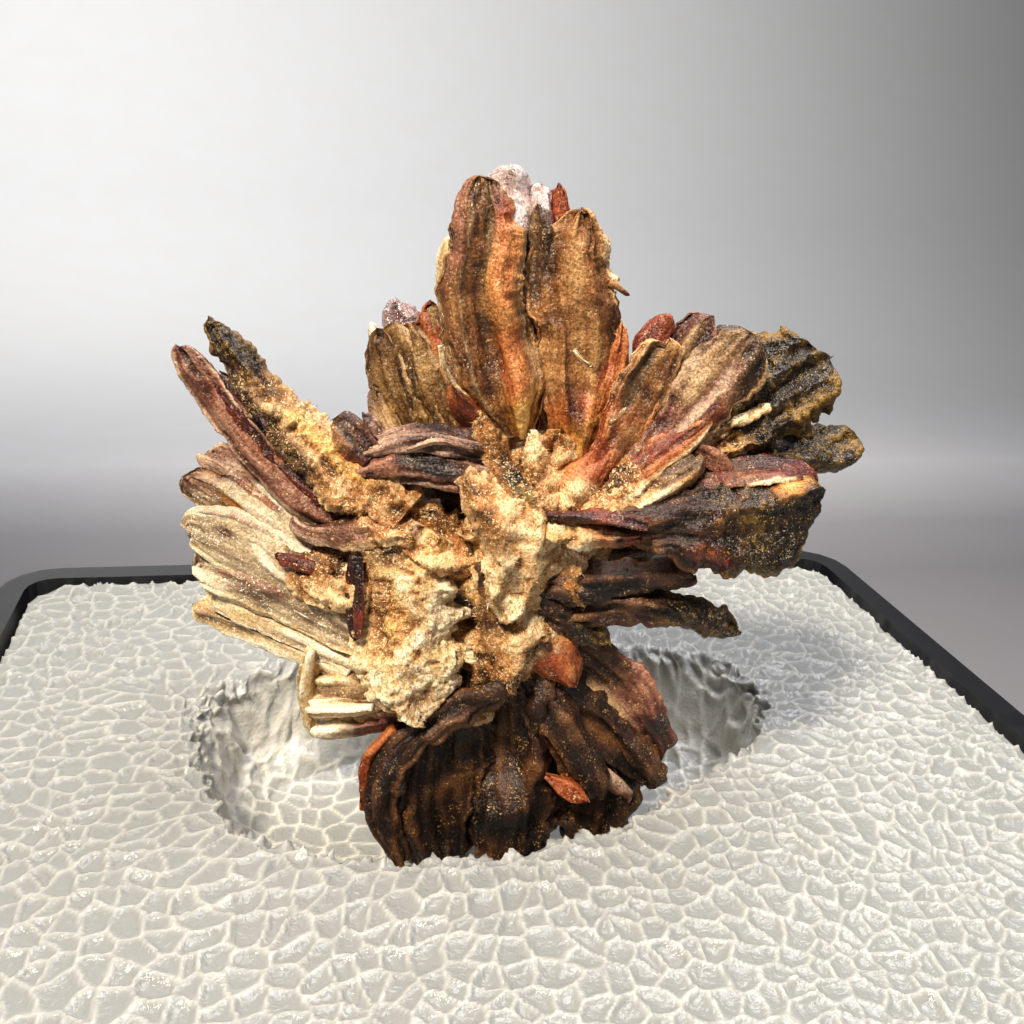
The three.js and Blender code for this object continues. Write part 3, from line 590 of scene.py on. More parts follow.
def cover(rows, columns, girth, along):
    """The faces of a closed blade, and their corners' UVs in millimetres of its surface.

    The last two points are the middles of its ends, on which the caps close."""
    ring = np.arange(columns)
    after = np.roll(ring, -1)
    last = (rows - 1) * columns
    root_cap = np.stack([after, ring, np.full(columns, rows * columns)], -1)
    tip_cap = np.stack([last + ring, last + after, np.full(columns, rows * columns + 1)], -1)
    low_u, high_u = (np.tile(edge, rows - 1) for edge in (girth[:-1], girth[1:]))
    low_v, high_v = (np.repeat(edge, columns) for edge in (along[:-1], along[1:]))
    corners = ((low_u, low_v), (high_u, low_v), (high_u, high_v), (low_u, high_v))
    quad_uv = np.stack([np.stack(corner, -1) for corner in corners], 1)
    cap_uv = np.zeros((columns, 3, 2))
    cap_uv[..., 0] = girth[:-1, None]
    return (
        grid_faces(rows, columns, wrap=True), np.concatenate([root_cap, tip_cap]),
        quad_uv, np.concatenate([cap_uv, cap_uv + (0, along[-1])]),
    )


def signed_volume(points, quads, triangles):
    """Above nought where a mesh's faces point outwards."""
    halves = np.concatenate([quads[:, [0, 1, 2]], quads[:, [0, 2, 3]], triangles])
    a, b, c = (points[halves[:, corner]] for corner in range(3))
    return np.sum(a * np.cross(b, c))


# The share of a blade's half-width that its bevel takes, how far its faces fall off towards the
# bevel, and how far the mesh's columns crowd to its edges.
BEVEL, FACE_BOW, CROWDING = 0.17, 0.12, 0.98
# The back needs fewer columns than the front.
BACK_SHARE = 0.6
# The tip is rounded off over a quarter of its width and this much more, and its thickness and
# relief fade to this share.
TIP_REACH, TIP_SHARE = 0.07, 0.25
# The folds along a blade, each as deep as a share of its thickness and these millimetres.
KEEL_FOLD, CREASE_FOLD = (0.34, 0.04), (0.4, 0.03)
# The painted rim light, which stands for light showing through the thin edges, begins at this share of
# the half-width.
RIM_START = 0.86
# How much the relief paints its raised parts paler and its hollows darker, as painted light and shade,
# and those of a rib.
RELIEF_TONE, RIB_TONE = 0.45, 0.4


# A blade is a tuple. It begins with its finish, or with those of its root and its tip and the
# share of its length at which they change. Then come its depths at root and tip, its thickness,
# its turn in degrees, the points of its spine with their widths, and its ribs. A rib is its spot
# across the blade from -1 to 1, or its spots at root and tip, its rise, which is below nought for
# a groove, its half-width on the same scale, its finish or None, and the shares of the length at
# which it starts and ends.
def grow(blade, seed, step=FINE_STEP):
    """One blade's mesh: points, colours, faces, the surface of each face and its corners' UVs."""
    finishes, depths, thick, turn, spine, *ribs = blade
    if isinstance(finishes, str):
        finishes = (finishes, finishes)
    root_finish, tip_finish, change = (*finishes, 0.5)[:3]
    ribs = ribs[0] if ribs else []
    middle, half, along, (forward, across, through) = carry(spine, depths, turn, step)
    jag = SURFACES[FINISHES[tip_finish][0]][1]
    tip = np.clip((along[-1] - along) / (0.5 * half[-1] + TIP_REACH), 0, 1)
    rounded = np.clip(1 - (1 - tip) ** 2, 0, 1) ** 0.4
    fade = TIP_SHARE + (1 - TIP_SHARE) * rounded
    thin = thick / 2 * np.sqrt(half / half.max()) * fade
    thin = thin * np.clip(tip * 4, 0.02, 1)

    # Points round the blade, from -1 to 1 across its front and back again, closer at its edges.
    columns_front = max(8, int(2.1 * half.max() / step))
    columns_back = max(6, int(columns_front * BACK_SHARE))
    sweep_front = np.linspace(-1, 1, columns_front, endpoint=False)
    sweep_back = np.linspace(1, -1, columns_back, endpoint=False)
    u = np.sin(np.concatenate([sweep_front, sweep_back]) * math.pi / 2 * CROWDING)
    side = np.concatenate([-np.ones(columns_front), np.ones(columns_back)])
    rows, columns = len(along), len(u)
    bow = np.minimum((1 - np.abs(u)) / BEVEL, 1) * (1 - FACE_BOW * u * u)
    grid_u = np.broadcast_to(u, (rows, columns))
    grid_t = np.broadcast_to(along[:, None], (rows, columns))
    part = grid_t / along[-1]

    # Its ragged edges, the folds along it, its ribs and its chipped end.
    edge_noise = np.stack([grid_t * 0 + np.sign(grid_u) * 7, grid_t], -1)
    ragged = 1 + jag * 2.2 * cloud(edge_noise, (1, 0.42), seed + 9) * np.abs(grid_u)
    keel = 0.5 * flow(grid_t * 0, grid_t, 1, 2.2, seed + 8, 2)
    fold = (KEEL_FOLD[0] * thick + KEEL_FOLD[1]) * (np.abs(grid_u - keel) - 0.5)
    crease = np.abs(flow(grid_u, grid_t, 0.9, 2.6, seed + 5, 1))
    fold += (CREASE_FOLD[0] * thick + CREASE_FOLD[1]) * crease
    wide = grid_u * (half * rounded)[:, None] * ragged
    deep = side * bow * thin[:, None] + fold * rounded[:, None]
    felt = np.clip(tip * 2, 0, 1)[:, None] * (side < 0)
    shares = [share * felt for share in rib_shares(ribs, grid_u, grid_t, part, seed)]
    for share, rib in zip(shares, ribs):
        deep = deep - rib[1] * share
    chip = 0.2 + 0.5 * cloud(np.stack([grid_u, grid_t * 0], -1), 0.55, seed + 4, 3)
    chip = chip * (0.12 + 0.3 * half[-1] + 0.25 * half.mean())
    chip = chip * np.clip(part * 2 - 1, 0, 1) ** 2
    points = (
        middle[:, None] + across[:, None] * wide[..., None] + through[:, None] * deep[..., None]
        - forward[:, None] * np.clip(chip, 0, None)[..., None]
    )

    normals = grid_normals(points, wrap=True)
    if np.mean(np.sum(normals * (points - middle[:, None]), -1)) < 0:
        normals = -normals
    gaps = np.linalg.norm(points - np.roll(points, 1, 1), axis=-1)
    girth = np.cumsum(np.median(gaps, 0))
    around = np.broadcast_to(girth, (rows, columns))

    # The relief and the colours of its root and of its tip, and how they pass into each other.
    blend = np.clip((part - change) * 4 + 0.9 * cloud(points, 0.7, seed + 7) + 0.5, 0, 1)
    mottle = cloud(points, 1.1, seed + 6, 4)
    # Painted light: the edges are painted paler, for the light that shows through them.
    rim_light = np.clip((np.abs(grid_u) - RIM_START) / 0.12, 0, 1)
    heights, colours = [], []
    for finish in (root_finish, tip_finish):
        relief = SURFACES[FINISHES[finish][0]][0](around, grid_t, points, seed)
        heights.append(relief)
        colours.append(tinted(finish, evened(relief) * RELIEF_TONE + 0.5 * rim_light, mottle))
    height = (heights[0] + (heights[1] - heights[0]) * blend) * fade[:, None]
    colour = colours[0] + (colours[1] - colours[0]) * blend[..., None]
    for share, rib in zip(shares, ribs):
        if rib[3]:
            hold = np.clip(share * 1.7 + 0.35 * mottle, 0, 1)[..., None]
            level = evened(height) * RIB_TONE + share - 0.4
            colour = colour + (tinted(rib[3], level, mottle) - colour) * hold
    points = points + normals * height[..., None]

    # Both ends close on a point at their middle.
    points, colour = (
        np.concatenate([grid.reshape(-1, 3), grid[[0, -1]].mean(1)]) for grid in (points, colour)
    )
    girth_open = np.append(girth, girth[-1] + np.median(gaps[:, 0])) - girth[0]
    quads, triangles, quad_uv, triangle_uv = cover(rows, columns, girth_open, along)
    root_kind, tip_kind = (
        list(SURFACES).index(FINISHES[finish][0]) for finish in (root_finish, tip_finish)
    )
    if signed_volume(points, quads, triangles) < 0:
        quads, quad_uv = quads[:, ::-1], quad_uv[:, ::-1]
        triangles, triangle_uv = triangles[:, ::-1], triangle_uv[:, ::-1]
    return {
        "points": HEART + points @ FACE_TURN.T, "tint": colour,
        "quads": quads, "triangles": triangles, "quad_uv": quad_uv, "triangle_uv": triangle_uv,
        "quad_kind": np.where((blend[:-1] > 0.5).reshape(-1), tip_kind, root_kind),
        "triangle_kind": np.repeat([root_kind, tip_kind], columns),
    }


# The grains of a mineral's finish, in millimetres: its specks, its facets, and the drifts in which pale
# specks gather. The pale specks are partly painted glints.
SPECK_SIZE = 0.07
FACET_SIZE = 0.032
DRIFT_SIZE = 0.35


def mineral(name, rough, ior, grain, relief, contrast, glitter, specks, values=None):
    """A mineral's finish: its own tint, broken up by grain and lit by small facets.

    grain is the width and length in millimetres of its fibres or grains, relief the depth of
    their bump, and glitter how far the small facets tilt. specks is the share of facets that
    show pale, and their colour."""
    made, tree, shader, place_node = new_material(name, {"IOR": ior, **(values or {})})
    flat = add(tree, "ShaderNodeUVMap", {"uv_map": "Surface"}).outputs["UV"]
    drawn = stretched(tree, flat, (1 / grain[0], 1 / grain[1], 1))
    fibre = noise(tree, drawn, 1, 3, Roughness=0.65)
    speck = noise(tree, place_node, 1 / (SPECK_SIZE * MM))
    both = add(
        tree, "ShaderNodeMath", {"operation": "MULTIPLY_ADD"}, {1: 0.6}, {0: fibre, 2: speck}
    ).outputs["Value"]
    strength = ranged(tree, both, (0.5, 1.1), (1 - contrast, 1 + contrast))
    tint = add(tree, "ShaderNodeAttribute", {"attribute_name": "Tint"}).outputs["Color"]
    toned = add(
        tree, "ShaderNodeVectorMath", {"operation": "SCALE"}, None,
        {"Vector": tint, "Scale": strength},
    )
    facets = add(
        tree, "ShaderNodeTexVoronoi", None, {"Scale": 1 / (FACET_SIZE * MM)},
        {"Vector": place_node},
    )
    number = add(tree, "ShaderNodeSeparateColor", links={"Color": facets.outputs["Color"]})
    lean = add(
        tree, "ShaderNodeMath", {"operation": "MULTIPLY_ADD"}, {1: 0.5},
        {0: noise(tree, place_node, 1 / (DRIFT_SIZE * MM)), 2: number.outputs["Red"]},
    )
    # Painted glints: the chosen facets take the pale speck colour, partly for pale grains and partly for
    # glints.
    chosen = ranged(
        tree, lean.outputs["Value"], (1.25 - specks[0], 1.35 - specks[0]), (0, 0.8)
    )
    mixed = add(
        tree, "ShaderNodeMixRGB", None, {"Color2": linear(specks[1])},
        {"Fac": chosen, "Color1": toned.outputs["Vector"]},
    )
    # Each tiny facet turns the light its own way, so some of them flash.
    tilt = add(
        tree, "ShaderNodeVectorMath", {"operation": "MULTIPLY_ADD"},
        {1: (glitter,) * 3, 2: (-glitter / 2,) * 3}, {0: facets.outputs["Color"]},
    )
    leaned = add(
        tree, "ShaderNodeVectorMath", {"operation": "ADD"}, None,
        {0: bumped(tree, both, 1, relief), 1: tilt.outputs["Vector"]},
    )
    faced = add(
        tree, "ShaderNodeVectorMath", {"operation": "NORMALIZE"}, None,
        {0: leaned.outputs["Vector"]},
    )
    wire(tree, shader, {
        "Base Color": mixed.outputs["Color"],
        "Roughness": ranged(tree, speck, (0.3, 0.7), (rough - 0.12, rough + 0.15)),
        "Normal": faced.outputs["Vector"],
    })
    return made


def build(name, blades, seed, step=FINE_STEP):
    """One piece of the cluster, from its blades, riding with the part in its packed place."""
    grown = [grow(blade, seed + 17 * number, step) for number, blade in enumerate(blades)]
    joined = {key: np.concatenate([made[key] for made in grown]) for key in grown[0]}
    starts = np.cumsum([0, *[len(made["points"]) for made in grown]])
    faces = [
        np.concatenate([made[key] + start for made, start in zip(grown, starts)])
        for key in ("quads", "triangles")
    ]
    materials = [surface[2] for surface in SURFACES.values()]
    piece = new_piece(name, joined["points"], faces, materials)
    tint = np.column_stack([joined["tint"], np.ones(len(joined["tint"]))])
    store(piece, "Tint", tint, "FLOAT_COLOR")
    piece.data.uv_layers.new(name="Surface")
    uv = np.append(joined["quad_uv"], joined["triangle_uv"]).astype(np.float32)
    piece.data.uv_layers["Surface"].data.foreach_set("uv", uv)
    kind = np.append(joined["quad_kind"], joined["triangle_kind"]).astype(np.int32)
    piece.data.polygons.foreach_set("material_index", kind)
    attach(piece, "root")
    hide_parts("goethite_cluster")
    return piece


# Goethite's own index of refraction is near 2.3, but its fine fibres scatter the light, so a
# silky blade has the sheen of a lower one.
# Its pale gold specks are partly painted glints.
SURFACES["silky"] = (silky, 0.06, mineral(
    "silky_goethite", rough=0.40, ior=1.55, grain=(0.035, 0.5), relief=0.03,
    contrast=0.55, glitter=0.6, specks=(0.05, "#e8c690")
))
crown = {
    "left_blade": ("tan", (-1.1, -1.4), 0.5, -6,
        [(-0.25, 3.1, 0.7), (-0.6, 4.3, 2.2), (-0.8, 4.85, 2.36), (-1, 5.55, 2.3), (-1.2, 6.35, 2.16),
         (-1.25, 7, 2.05), (-1.17, 7.7, 1.95), (-1.18, 8.5, 1.75), (-1.25, 9.05, 1.3), (-1.22, 9.6, 0.6)],
        [((-0.8, -0.12), 0.12, 0.14, "dust"), ((-0.35, 0.3), -0.1, 0.2, "umber", 0.3, 1.2),
         (-0.75, 0.03, 0.4, "plum", 0.55, 1.2), (0.95, -0.1, 0.45, "dust", -0.2, 0.55),
         ((0.1, 0.8), 0.3, 0.34, "ember", -0.1, 0.97), (0.3, 0.04, 0.9, "ochre", -0.2, 0.2)]),
    # The shadow facet's dark umber root is painted shade, where the left blade shades it.
    "shadow_facet": (("umber", "dust", 0.75), (-0.6, -0.85), 0.3, -24,
        [(0.75, 3, 0.6), (0.45, 4.5, 0.9), (0.25, 5.8, 1.05), (0.2, 7, 1), (0.17, 8.1, 0.85),
         (0.17, 8.6, 0.5), (0.17, 8.9, 0.2)]),
    "right_blade": (("ember", "tan", 0.22), (-1, -1.15), 0.42, 8,
        [(1.1, 2.3, 0.9), (1.3, 4.4, 2), (1.3, 5.7, 2.3), (1.15, 6.65, 2.25), (1.12, 7.6, 2.1),
         (1.25, 8.1, 1.6), (1.3, 8.5, 1), (1.3, 8.95, 0.35)],
        # The dark umber rib down its left edge is painted shade.
        [(-0.85, -0.16, 0.4, "umber", 0.2, 0.9), (0.92, 0.06, 0.14, "straw", 0.5, 0.95),
         (0.55, 0.03, 0.3, "oxblood", 0.22, 0.45), ((0.1, 0.6), 0.14, 0.5, "ember", -0.2, 0.35),
         (0, 0.04, 0.9, "ochre", -0.2, 0.24), (0.25, 0.1, 0.3, None, 0.3, 1.1)]),
    "right_bulge": ("ember", (-0.9, -0.8), 0.4, 28,
        [(1.55, 2.75, 0.65), (2.05, 4, 0.8), (2.3, 5.25, 0.55), (2.3, 6, 0.2)]),
    "right_spur": ("tan", (-1.05, -1), 0.15, 0,
        [(2, 6.95, 0.2), (2.3, 6.75, 0.16), (2.5, 6.6, 0.08)]),
    "hidden_red": ("ember", (-0.5, -0.3), 0.4, 20,
        [(0.75, 7.6, 0.35), (0.78, 8.45, 0.5), (0.75, 9.1, 0.42), (0.7, 9.45, 0.25)]),
}
build("goethite_crown", crown.values(), 1)


# The clear crystals: glassy colourless and pink lumps, which let light through, and two pale
# silky chips. They grew behind the crown and the book.


def glassy(around, along, points, seed):
    """A few broad flat facets."""
    flat = np.stack([around, along], -1)
    near, _, number = cell_pattern(flat, 0.42, seed)
    tilt = (number * 61 % 1 - 0.5) * near[..., 0] + (number * 37 % 1 - 0.5) * near[..., 1]
    return 0.16 * tilt + 0.08 * number


def leafy(around, along, points, seed):
    """Thin pale leaves of crystal lying over each other, with stepped edges."""
    layer = flow(around, along, 0.35, 3.0, seed, 4)
    steps = np.floor(layer * 4) / 4
    return 0.08 * steps + 0.02 * flow(around, along, 0.1, 0.8, seed + 1)


# Clear crystal is smooth and glassy. Half of the light goes through it. Its near-white tints and white
# specks are partly painted highlights and glints.
SURFACES["glassy"] = (glassy, 0.05, mineral(
    "clear_pink_crystal", rough=0.12, ior=1.55, grain=(0.3, 0.4), relief=0.02,
    contrast=0.1, glitter=0.9, specks=(0.3, "#ffffff"),
    values={"Transmission Weight": 0.5},
))
# Weathered leaves are pale and silky, with nearly white specks that are partly painted glints.
SURFACES["leafy"] = (leafy, 0.035, mineral(
    "pale_silky_leaves", rough=0.36, ior=1.55, grain=(0.04, 0.5), relief=0.025,
    contrast=0.4, glitter=0.6, specks=(0.12, "#fffbe4")
))
FINISHES.update({
    # The clear finish's pale tints are partly painted highlights.
    "clear": ("glassy", "#d9a191", "#efc9bb", "#fff3ee"),
    "gilt": ("leafy", "#7a5024", "#dcba82", "#fff4d6"),
    "rose": ("glassy", "#7d5450", "#b08379", "#dcc0b4"),
})
crystals = {
    "clear_lump_left": ("clear", (-0.7, -0.3), 0.95, 0,
        [(-0.4, 6.75, 0.6), (-0.45, 8.4, 1), (-0.5, 9.45, 1), (-0.5, 9.9, 0.6)]),
    "clear_lump_right": ("clear", (-0.6, -0.4), 0.6, 0,
        [(0.25, 7.45, 0.5), (0.3, 8.6, 0.6), (0.3, 9.4, 0.35)]),
    "pale_back_blade": ("gilt", (-0.5, -0.4), 0.4, -20,
        [(-1.65, 4.5, 0.5), (-2.1, 6.25, 0.6), (-2.15, 7.45, 0.45), (-2.05, 8.1, 0.2)]),
    "rose_lump": ("rose", (0.3, 1), 0.8, 0,
        [(-2.5, 4, 0.85), (-3.05, 5.5, 1.05), (-3.3, 6.2, 0.95), (-3.35, 6.55, 0.5)]),
    "cream_chip": ("gilt", (0.4, 0.9), 0.4, 0,
        [(-3.15, 4.35, 0.6), (-3.85, 5.55, 0.5), (-4, 5.95, 0.25)]),
}
build("goethite_crystals", crystals.values(), 101)


# The book: thin brown plates of goethite, one behind another like pages, left of the crown.
# They grew from one foot, with a reddish plate and two knobs between them and the crown.
FINISHES["honey"] = ("silky", "#2f1b0a", "#6c4820", "#b48c54")
PLATE_RIBS = [
    (0.9, 0.08, 0.14, "dust", 0.4, 1.1), (0.1, 0.06, 0.18, None), (-0.6, -0.1, 0.3, "umber", 0.1, 0.9),
]
book = {
    "plate_1": ("honey", (0.2, 0.5), 0.18, -42,
        [(-2.8, 2.75, 0.9), (-3.5, 4.2, 1.2), (-3.75, 5.1, 1.05), (-3.85, 5.8, 0.6)],
        PLATE_RIBS),
    "plate_2": (("umber", "honey"), (0, 0.3), 0.18, -38,
        [(-2.4, 2.7, 1), (-3.15, 4.3, 1.25), (-3.4, 5.3, 1.1), (-3.5, 6, 0.7)],
        PLATE_RIBS),
    "plate_3": ("honey", (-0.2, 0.1), 0.18, -34,
        [(-2.05, 2.75, 1), (-2.8, 4.4, 1.25), (-3.05, 5.5, 1.15), (-3.1, 6.1, 0.8)],
        PLATE_RIBS),
    "plate_4": (("honey", "ember"), (-0.4, -0.1), 0.18, -30,
        [(-1.7, 2.85, 1), (-2.4, 4.5, 1.25), (-2.7, 5.6, 1.1), (-2.8, 6.2, 0.7)],
        PLATE_RIBS),
    "plate_5": (("oxblood", "honey"), (-0.6, -0.2), 0.18, -12,
        [(-1.35, 3, 0.8), (-2.05, 4.7, 1), (-2.25, 5.7, 0.95), (-2.35, 6.4, 0.55)],
        PLATE_RIBS),
    "low_lobe": ("honey", (-0.3, 0.3), 0.5, -20,
        [(-3, 2.55, 0.6), (-3.7, 3.4, 0.75), (-3.9, 3.95, 0.6), (-3.9, 4.4, 0.25)]),
    # The foot's dark umber root is painted shade, for the hollow before it.
    "foot": (("umber", "honey"), (0.1, 0.2), 1.1, 0,
        [(-1, 1, 2.25), (-1.95, 2.05, 2), (-2.55, 2.8, 1.5), (-2.95, 3.4, 0.75)]),
    "honey_knob": (("honey", "ember"), (-0.1, 0.2), 0.5, 0,
        [(-2.1, 5.1, 0.5), (-2.4, 5.95, 0.6), (-2.5, 6.5, 0.35)]),
    "orange_knob": ("ember", (-1.2, -1.3), 0.5, 20,
        [(-1.25, 3.4, 0.4), (-1.7, 3.95, 0.55), (-2, 4.5, 0.2)]),
}
build("goethite_book", book.values(), 201)


# The left pair: two long blades that reach to the upper left. The outer one is thin, grey-brown
# and dark red, and the inner one is stout, with a golden crust and a black crystalline tip.


def crusted(around, along, points, seed):
    """A rough crust of matted grains with pits."""
    lumps = cloud(points, 0.5, seed, 4)
    pits = np.minimum(cloud(points, 0.24, seed + 1, 2) + 0.1, 0)
    return 0.09 * lumps + 0.13 * pits + 0.03 * cloud(points, 0.09, seed + 2, 1)


def drusy(around, along, points, seed):
    """A sugary grit of small crystals over low fibrous swells."""
    swell = 0.05 * flow(around, along, 0.5, 1.5, seed, 2)
    return swell + 0.05 * cloud(points, 0.16, seed + 1, 2) + 0.02 * flow(
        around, along, 0.12, 0.8, seed + 2
    )


# Limonite is a dull and earthy crust, with pale grains caught in it.
SURFACES["crusted"] = (crusted, 0.10, mineral(
    "limonite_crust", rough=0.55, ior=1.5, grain=(0.08, 0.10), relief=0.035,
    contrast=0.6, glitter=0.7, specks=(0.20, "#f6e0a8")
))
# A druse is a coat of tiny crystals. It is nearly black, and glossier than the crusts. Its golden specks
# are partly painted glints.
SURFACES["drusy"] = (drusy, 0.10, mineral(
    "druse_goethite", rough=0.34, ior=1.5, grain=(0.07, 0.12), relief=0.03,
    contrast=0.6, glitter=0.9, specks=(0.11, "#a9873c")
))
FINISHES.update({
    # A pale lavender grey-brown, laid mostly along thin edges, that is partly painted sheen.
    "mica": ("silky", "#301811", "#7d503a", "#d3af92"),
    "garnet": ("silky", "#0f0202", "#360c05", "#762a13"),
    "crust": ("crusted", "#45210c", "#ac6e33", "#f2cb96"),
    "druse": ("drusy", "#0a0502", "#2b1d0a", "#7c5c22"),
    "bark": ("barky", "#0d0502", "#361a0a", "#774e2a"),
})
left_pair = {
    "outer_thin_blade": ("plum", (-1, -0.6), 0.22, -28,
        [(-4.2, 0.5, 0.9), (-5.6, 1.5, 0.9), (-6.8, 2.55, 0.85), (-7.7, 3.6, 0.9), (-8.35, 4.6, 0.85),
         (-8.85, 5.4, 0.5)],
        [(0.5, -0.12, 0.5, "oxblood", 0.05, 0.9), (-0.85, 0.05, 0.2, "mica"),
         (0.95, 0.05, 0.12, "mica")]),
    "outer_red": ("garnet", (-0.9, -0.5), 0.3, 35,
        [(-4.1, 0.9, 0.6), (-6.35, 2.75, 0.55), (-7.35, 3.9, 0.55), (-8.5, 5.3, 0.2)]),
    "inner_stout": (("crust", "druse", 0.72), (-1.3, -0.9), 0.7, 0,
        [(-3.25, 1, 1.8), (-4.65, 2.2, 1.7), (-5.75, 3.2, 1.35), (-6.95, 4.45, 1.05), (-7.8, 5.65, 0.8),
         (-8.05, 6.1, 0.45)],
        [(0.25, 0.12, 0.4, "ochre", 0.1, 0.6), (-0.7, 0.08, 0.4, "bark", 0.3, 0.8)]),
    "inner_back": ("plum", (-0.9, -0.5), 0.4, 25,
        [(-3.25, 1.25, 0.75), (-5.1, 2.6, 0.75), (-6.6, 4.05, 0.6), (-7.6, 5.4, 0.3)]),
}
left_pair_piece = build("goethite_left_pair", left_pair.values(), 301)


# The bridge: purple-brown splinters of fibrous goethite that lie across from the book's foot to
# the heart, and a small broken block at their end.
FINISHES["wine"] = ("silky", "#160706", "#4c2a20", "#ad8974")
bridge = {
    "splinter_1": ("wine", (-1, -1.4), 0.16, -25,
        [(-3.85, 2.95, 0.4), (-2.9, 3.2, 0.55), (-1.9, 3.12, 0.6), (-0.75, 2.9, 0.45)],
        [(0.8, 0.06, 0.15, "mica", 0.1, 0.9)]),
    "splinter_2": (("wine", "mica", 0.8), (-1.2, -1.5), 0.14, 20,
        [(-4.2, 2.6, 0.45), (-3.1, 2.85, 0.6), (-2, 2.75, 0.7), (-0.7, 2.5, 0.5)],
        [(0.85, 0.06, 0.14, "mica"), (-0.2, 0.06, 0.2, None)]),
    "splinter_3": (("plum", "wine"), (-1.3, -1.5), 0.14, -15,
        [(-4.35, 2.25, 0.45), (-3.2, 2.45, 0.6), (-2, 2.3, 0.65), (-0.5, 2, 0.5)],
        [(0.85, 0.06, 0.14, "mica", 0.2, 1)]),
    "splinter_4": (("wine", "plum"), (-1.1, -1.4), 0.14, 25,
        [(-4.1, 1.9, 0.4), (-3.1, 2.05, 0.55), (-1.95, 1.95, 0.55), (-0.6, 1.65, 0.4)],
        [(0.8, 0.06, 0.14, "mica", 0.3, 1)]),
    "splinter_5": (("mica", "wine"), (-1.5, -1.6), 0.08, 10,
        [(-3.1, 2.75, 0.12), (-2.3, 2.95, 0.2), (-1.3, 2.75, 0.1)]),
    # The under sheet is dark umber, as painted shade between and behind the splinters.
    "under": ("umber", (-0.8, -1), 0.3, 0,
        [(-4, 2.2, 0.9), (-2.8, 2.5, 1.2), (-1.6, 2.4, 1.2), (-0.5, 2.1, 0.9)]),
    "block": (("oxblood", "tan"), (-1.2, -1), 0.5, 30,
        [(-3.9, 2.6, 0.65), (-4.5, 3.2, 0.8), (-4.95, 3.5, 0.85)],
        [(0.35, 0.1, 0.15, "mica"), (-0.35, -0.1, 0.2, "umber")]),
    "block_splinter": (("mica", "wine"), (-1, -0.8), 0.2, -20,
        [(-3.4, 2.75, 0.25), (-3.95, 3.3, 0.3), (-4.2, 3.7, 0.2)]),
}
build("goethite_bridge", bridge.values(), 401)


# The left fan: pale weathered plates that overlap like those of a half-open fan, each with a bright edge
# below, whose gilt colour is partly a painted highlight. They grew out to the left from a crusted body,
# with red partings in it.
FINISHES["cream"] = ("leafy", "#6b4d33", "#cdb38c", "#fff2d4")
fan = {
    "thin_top": (("cream", "mica"), (-0.7, -0.3), 0.12, -22,
        [(-4.75, -0.3, 0.8), (-6.15, 0.8, 1.2), (-7.35, 2, 1.35), (-8.1, 2.55, 0.95), (-8.3, 2.7, 0.5)],
        [(-0.9, 0.05, 0.15, "gilt", 0.2, 0.9), (0.3, 0.05, 0.2, "mica", 0.4, 1)]),
    "plate_2": (("cream", "mica", 0.85), (-1, -0.4), 0.18, -18,
        [(-5, -0.6, 1.2), (-6.35, 0.4, 1.5), (-7.6, 1.4, 1.4), (-8.5, 1.95, 0.9), (-8.7, 2.1, 0.55)],
        [(0.9, 0.04, 0.12, "oxblood", 0.4, 1), (0.1, -0.05, 0.25, "ochre", 0.55, 0.85),
         (-0.88, 0.07, 0.16, "gilt")]),
    "plate_3": ("cream", (-1.2, -0.5), 0.2, -15,
        [(-4.75, -1.1, 1.5), (-6.15, -0.3, 1.8), (-7.5, 0.4, 1.65), (-8.5, 0.8, 1.1), (-8.75, 0.85, 0.6)],
        [(-0.88, 0.09, 0.16, "gilt"), (0.25, -0.06, 0.2, "oxblood", 0.65, 0.85),
         (0.9, 0.05, 0.12, "mica", 0.5, 1)]),
    "plate_4": ("cream", (-1.5, -0.5), 0.2, -15,
        [(-3.25, -2.4, 1.2), (-5, -1.5, 1.5), (-6.5, -0.7, 1.6), (-7.95, -0.2, 1.35),
         (-8.45, -0.15, 0.9)],
        [(-0.86, 0.1, 0.18, "gilt"), (0, 0.06, 0.3, "mica", 0.5, 1), (0.4, 0.06, 0.2, "gilt", 0.3, 0.9)]),
    "rib_5": (("cream", "gilt"), (-1, -0.1), 0.2, 26,
        [(-4.4, -2.45, 0.7), (-6, -1.6, 0.85), (-7.55, -0.9, 0.85), (-8.15, -0.8, 0.6)],
        [(0.8, 0.1, 0.2, "gilt"), (0, -0.08, 0.25, "umber", 0.3, 0.8)]),
    "rib_6": (("cream", "gilt"), (-1, 0), 0.24, 16,
        [(-4.5, -2.8, 0.6), (-6, -2, 0.8), (-7.45, -1.4, 0.85), (-8.15, -1.2, 0.75), (-8.45, -1.1, 0.5)],
        [(0.7, 0.1, 0.2, "gilt"), (-0.5, 0.1, 0.3, "gilt")]),
    "body": (("crust", "cream", 0.65), (-1.3, -0.6), 0.7, 25,
        [(-3.8, -0.5, 1.75), (-4.75, -0.25, 1.9), (-5.65, 0.1, 1.65), (-6.5, 0.55, 1), (-7, 0.9, 0.5)]),
    "red_parting": ("garnet", (-1.45, -1.2), 0.2, 40,
        [(-4.9, -0.3, 0.25), (-5.6, -0.05, 0.35), (-6.4, 0.15, 0.2)]),
    "crust_shelf": (("crust", "mica"), (-1.7, -1.1), 0.5, 30,
        [(-2.95, 0.75, 0.75), (-4.5, 0.8, 0.95), (-5.6, 0.85, 0.5), (-6, 1.15, 0.2)]),
}
fan_piece = build("goethite_fan", fan.values(), 501)


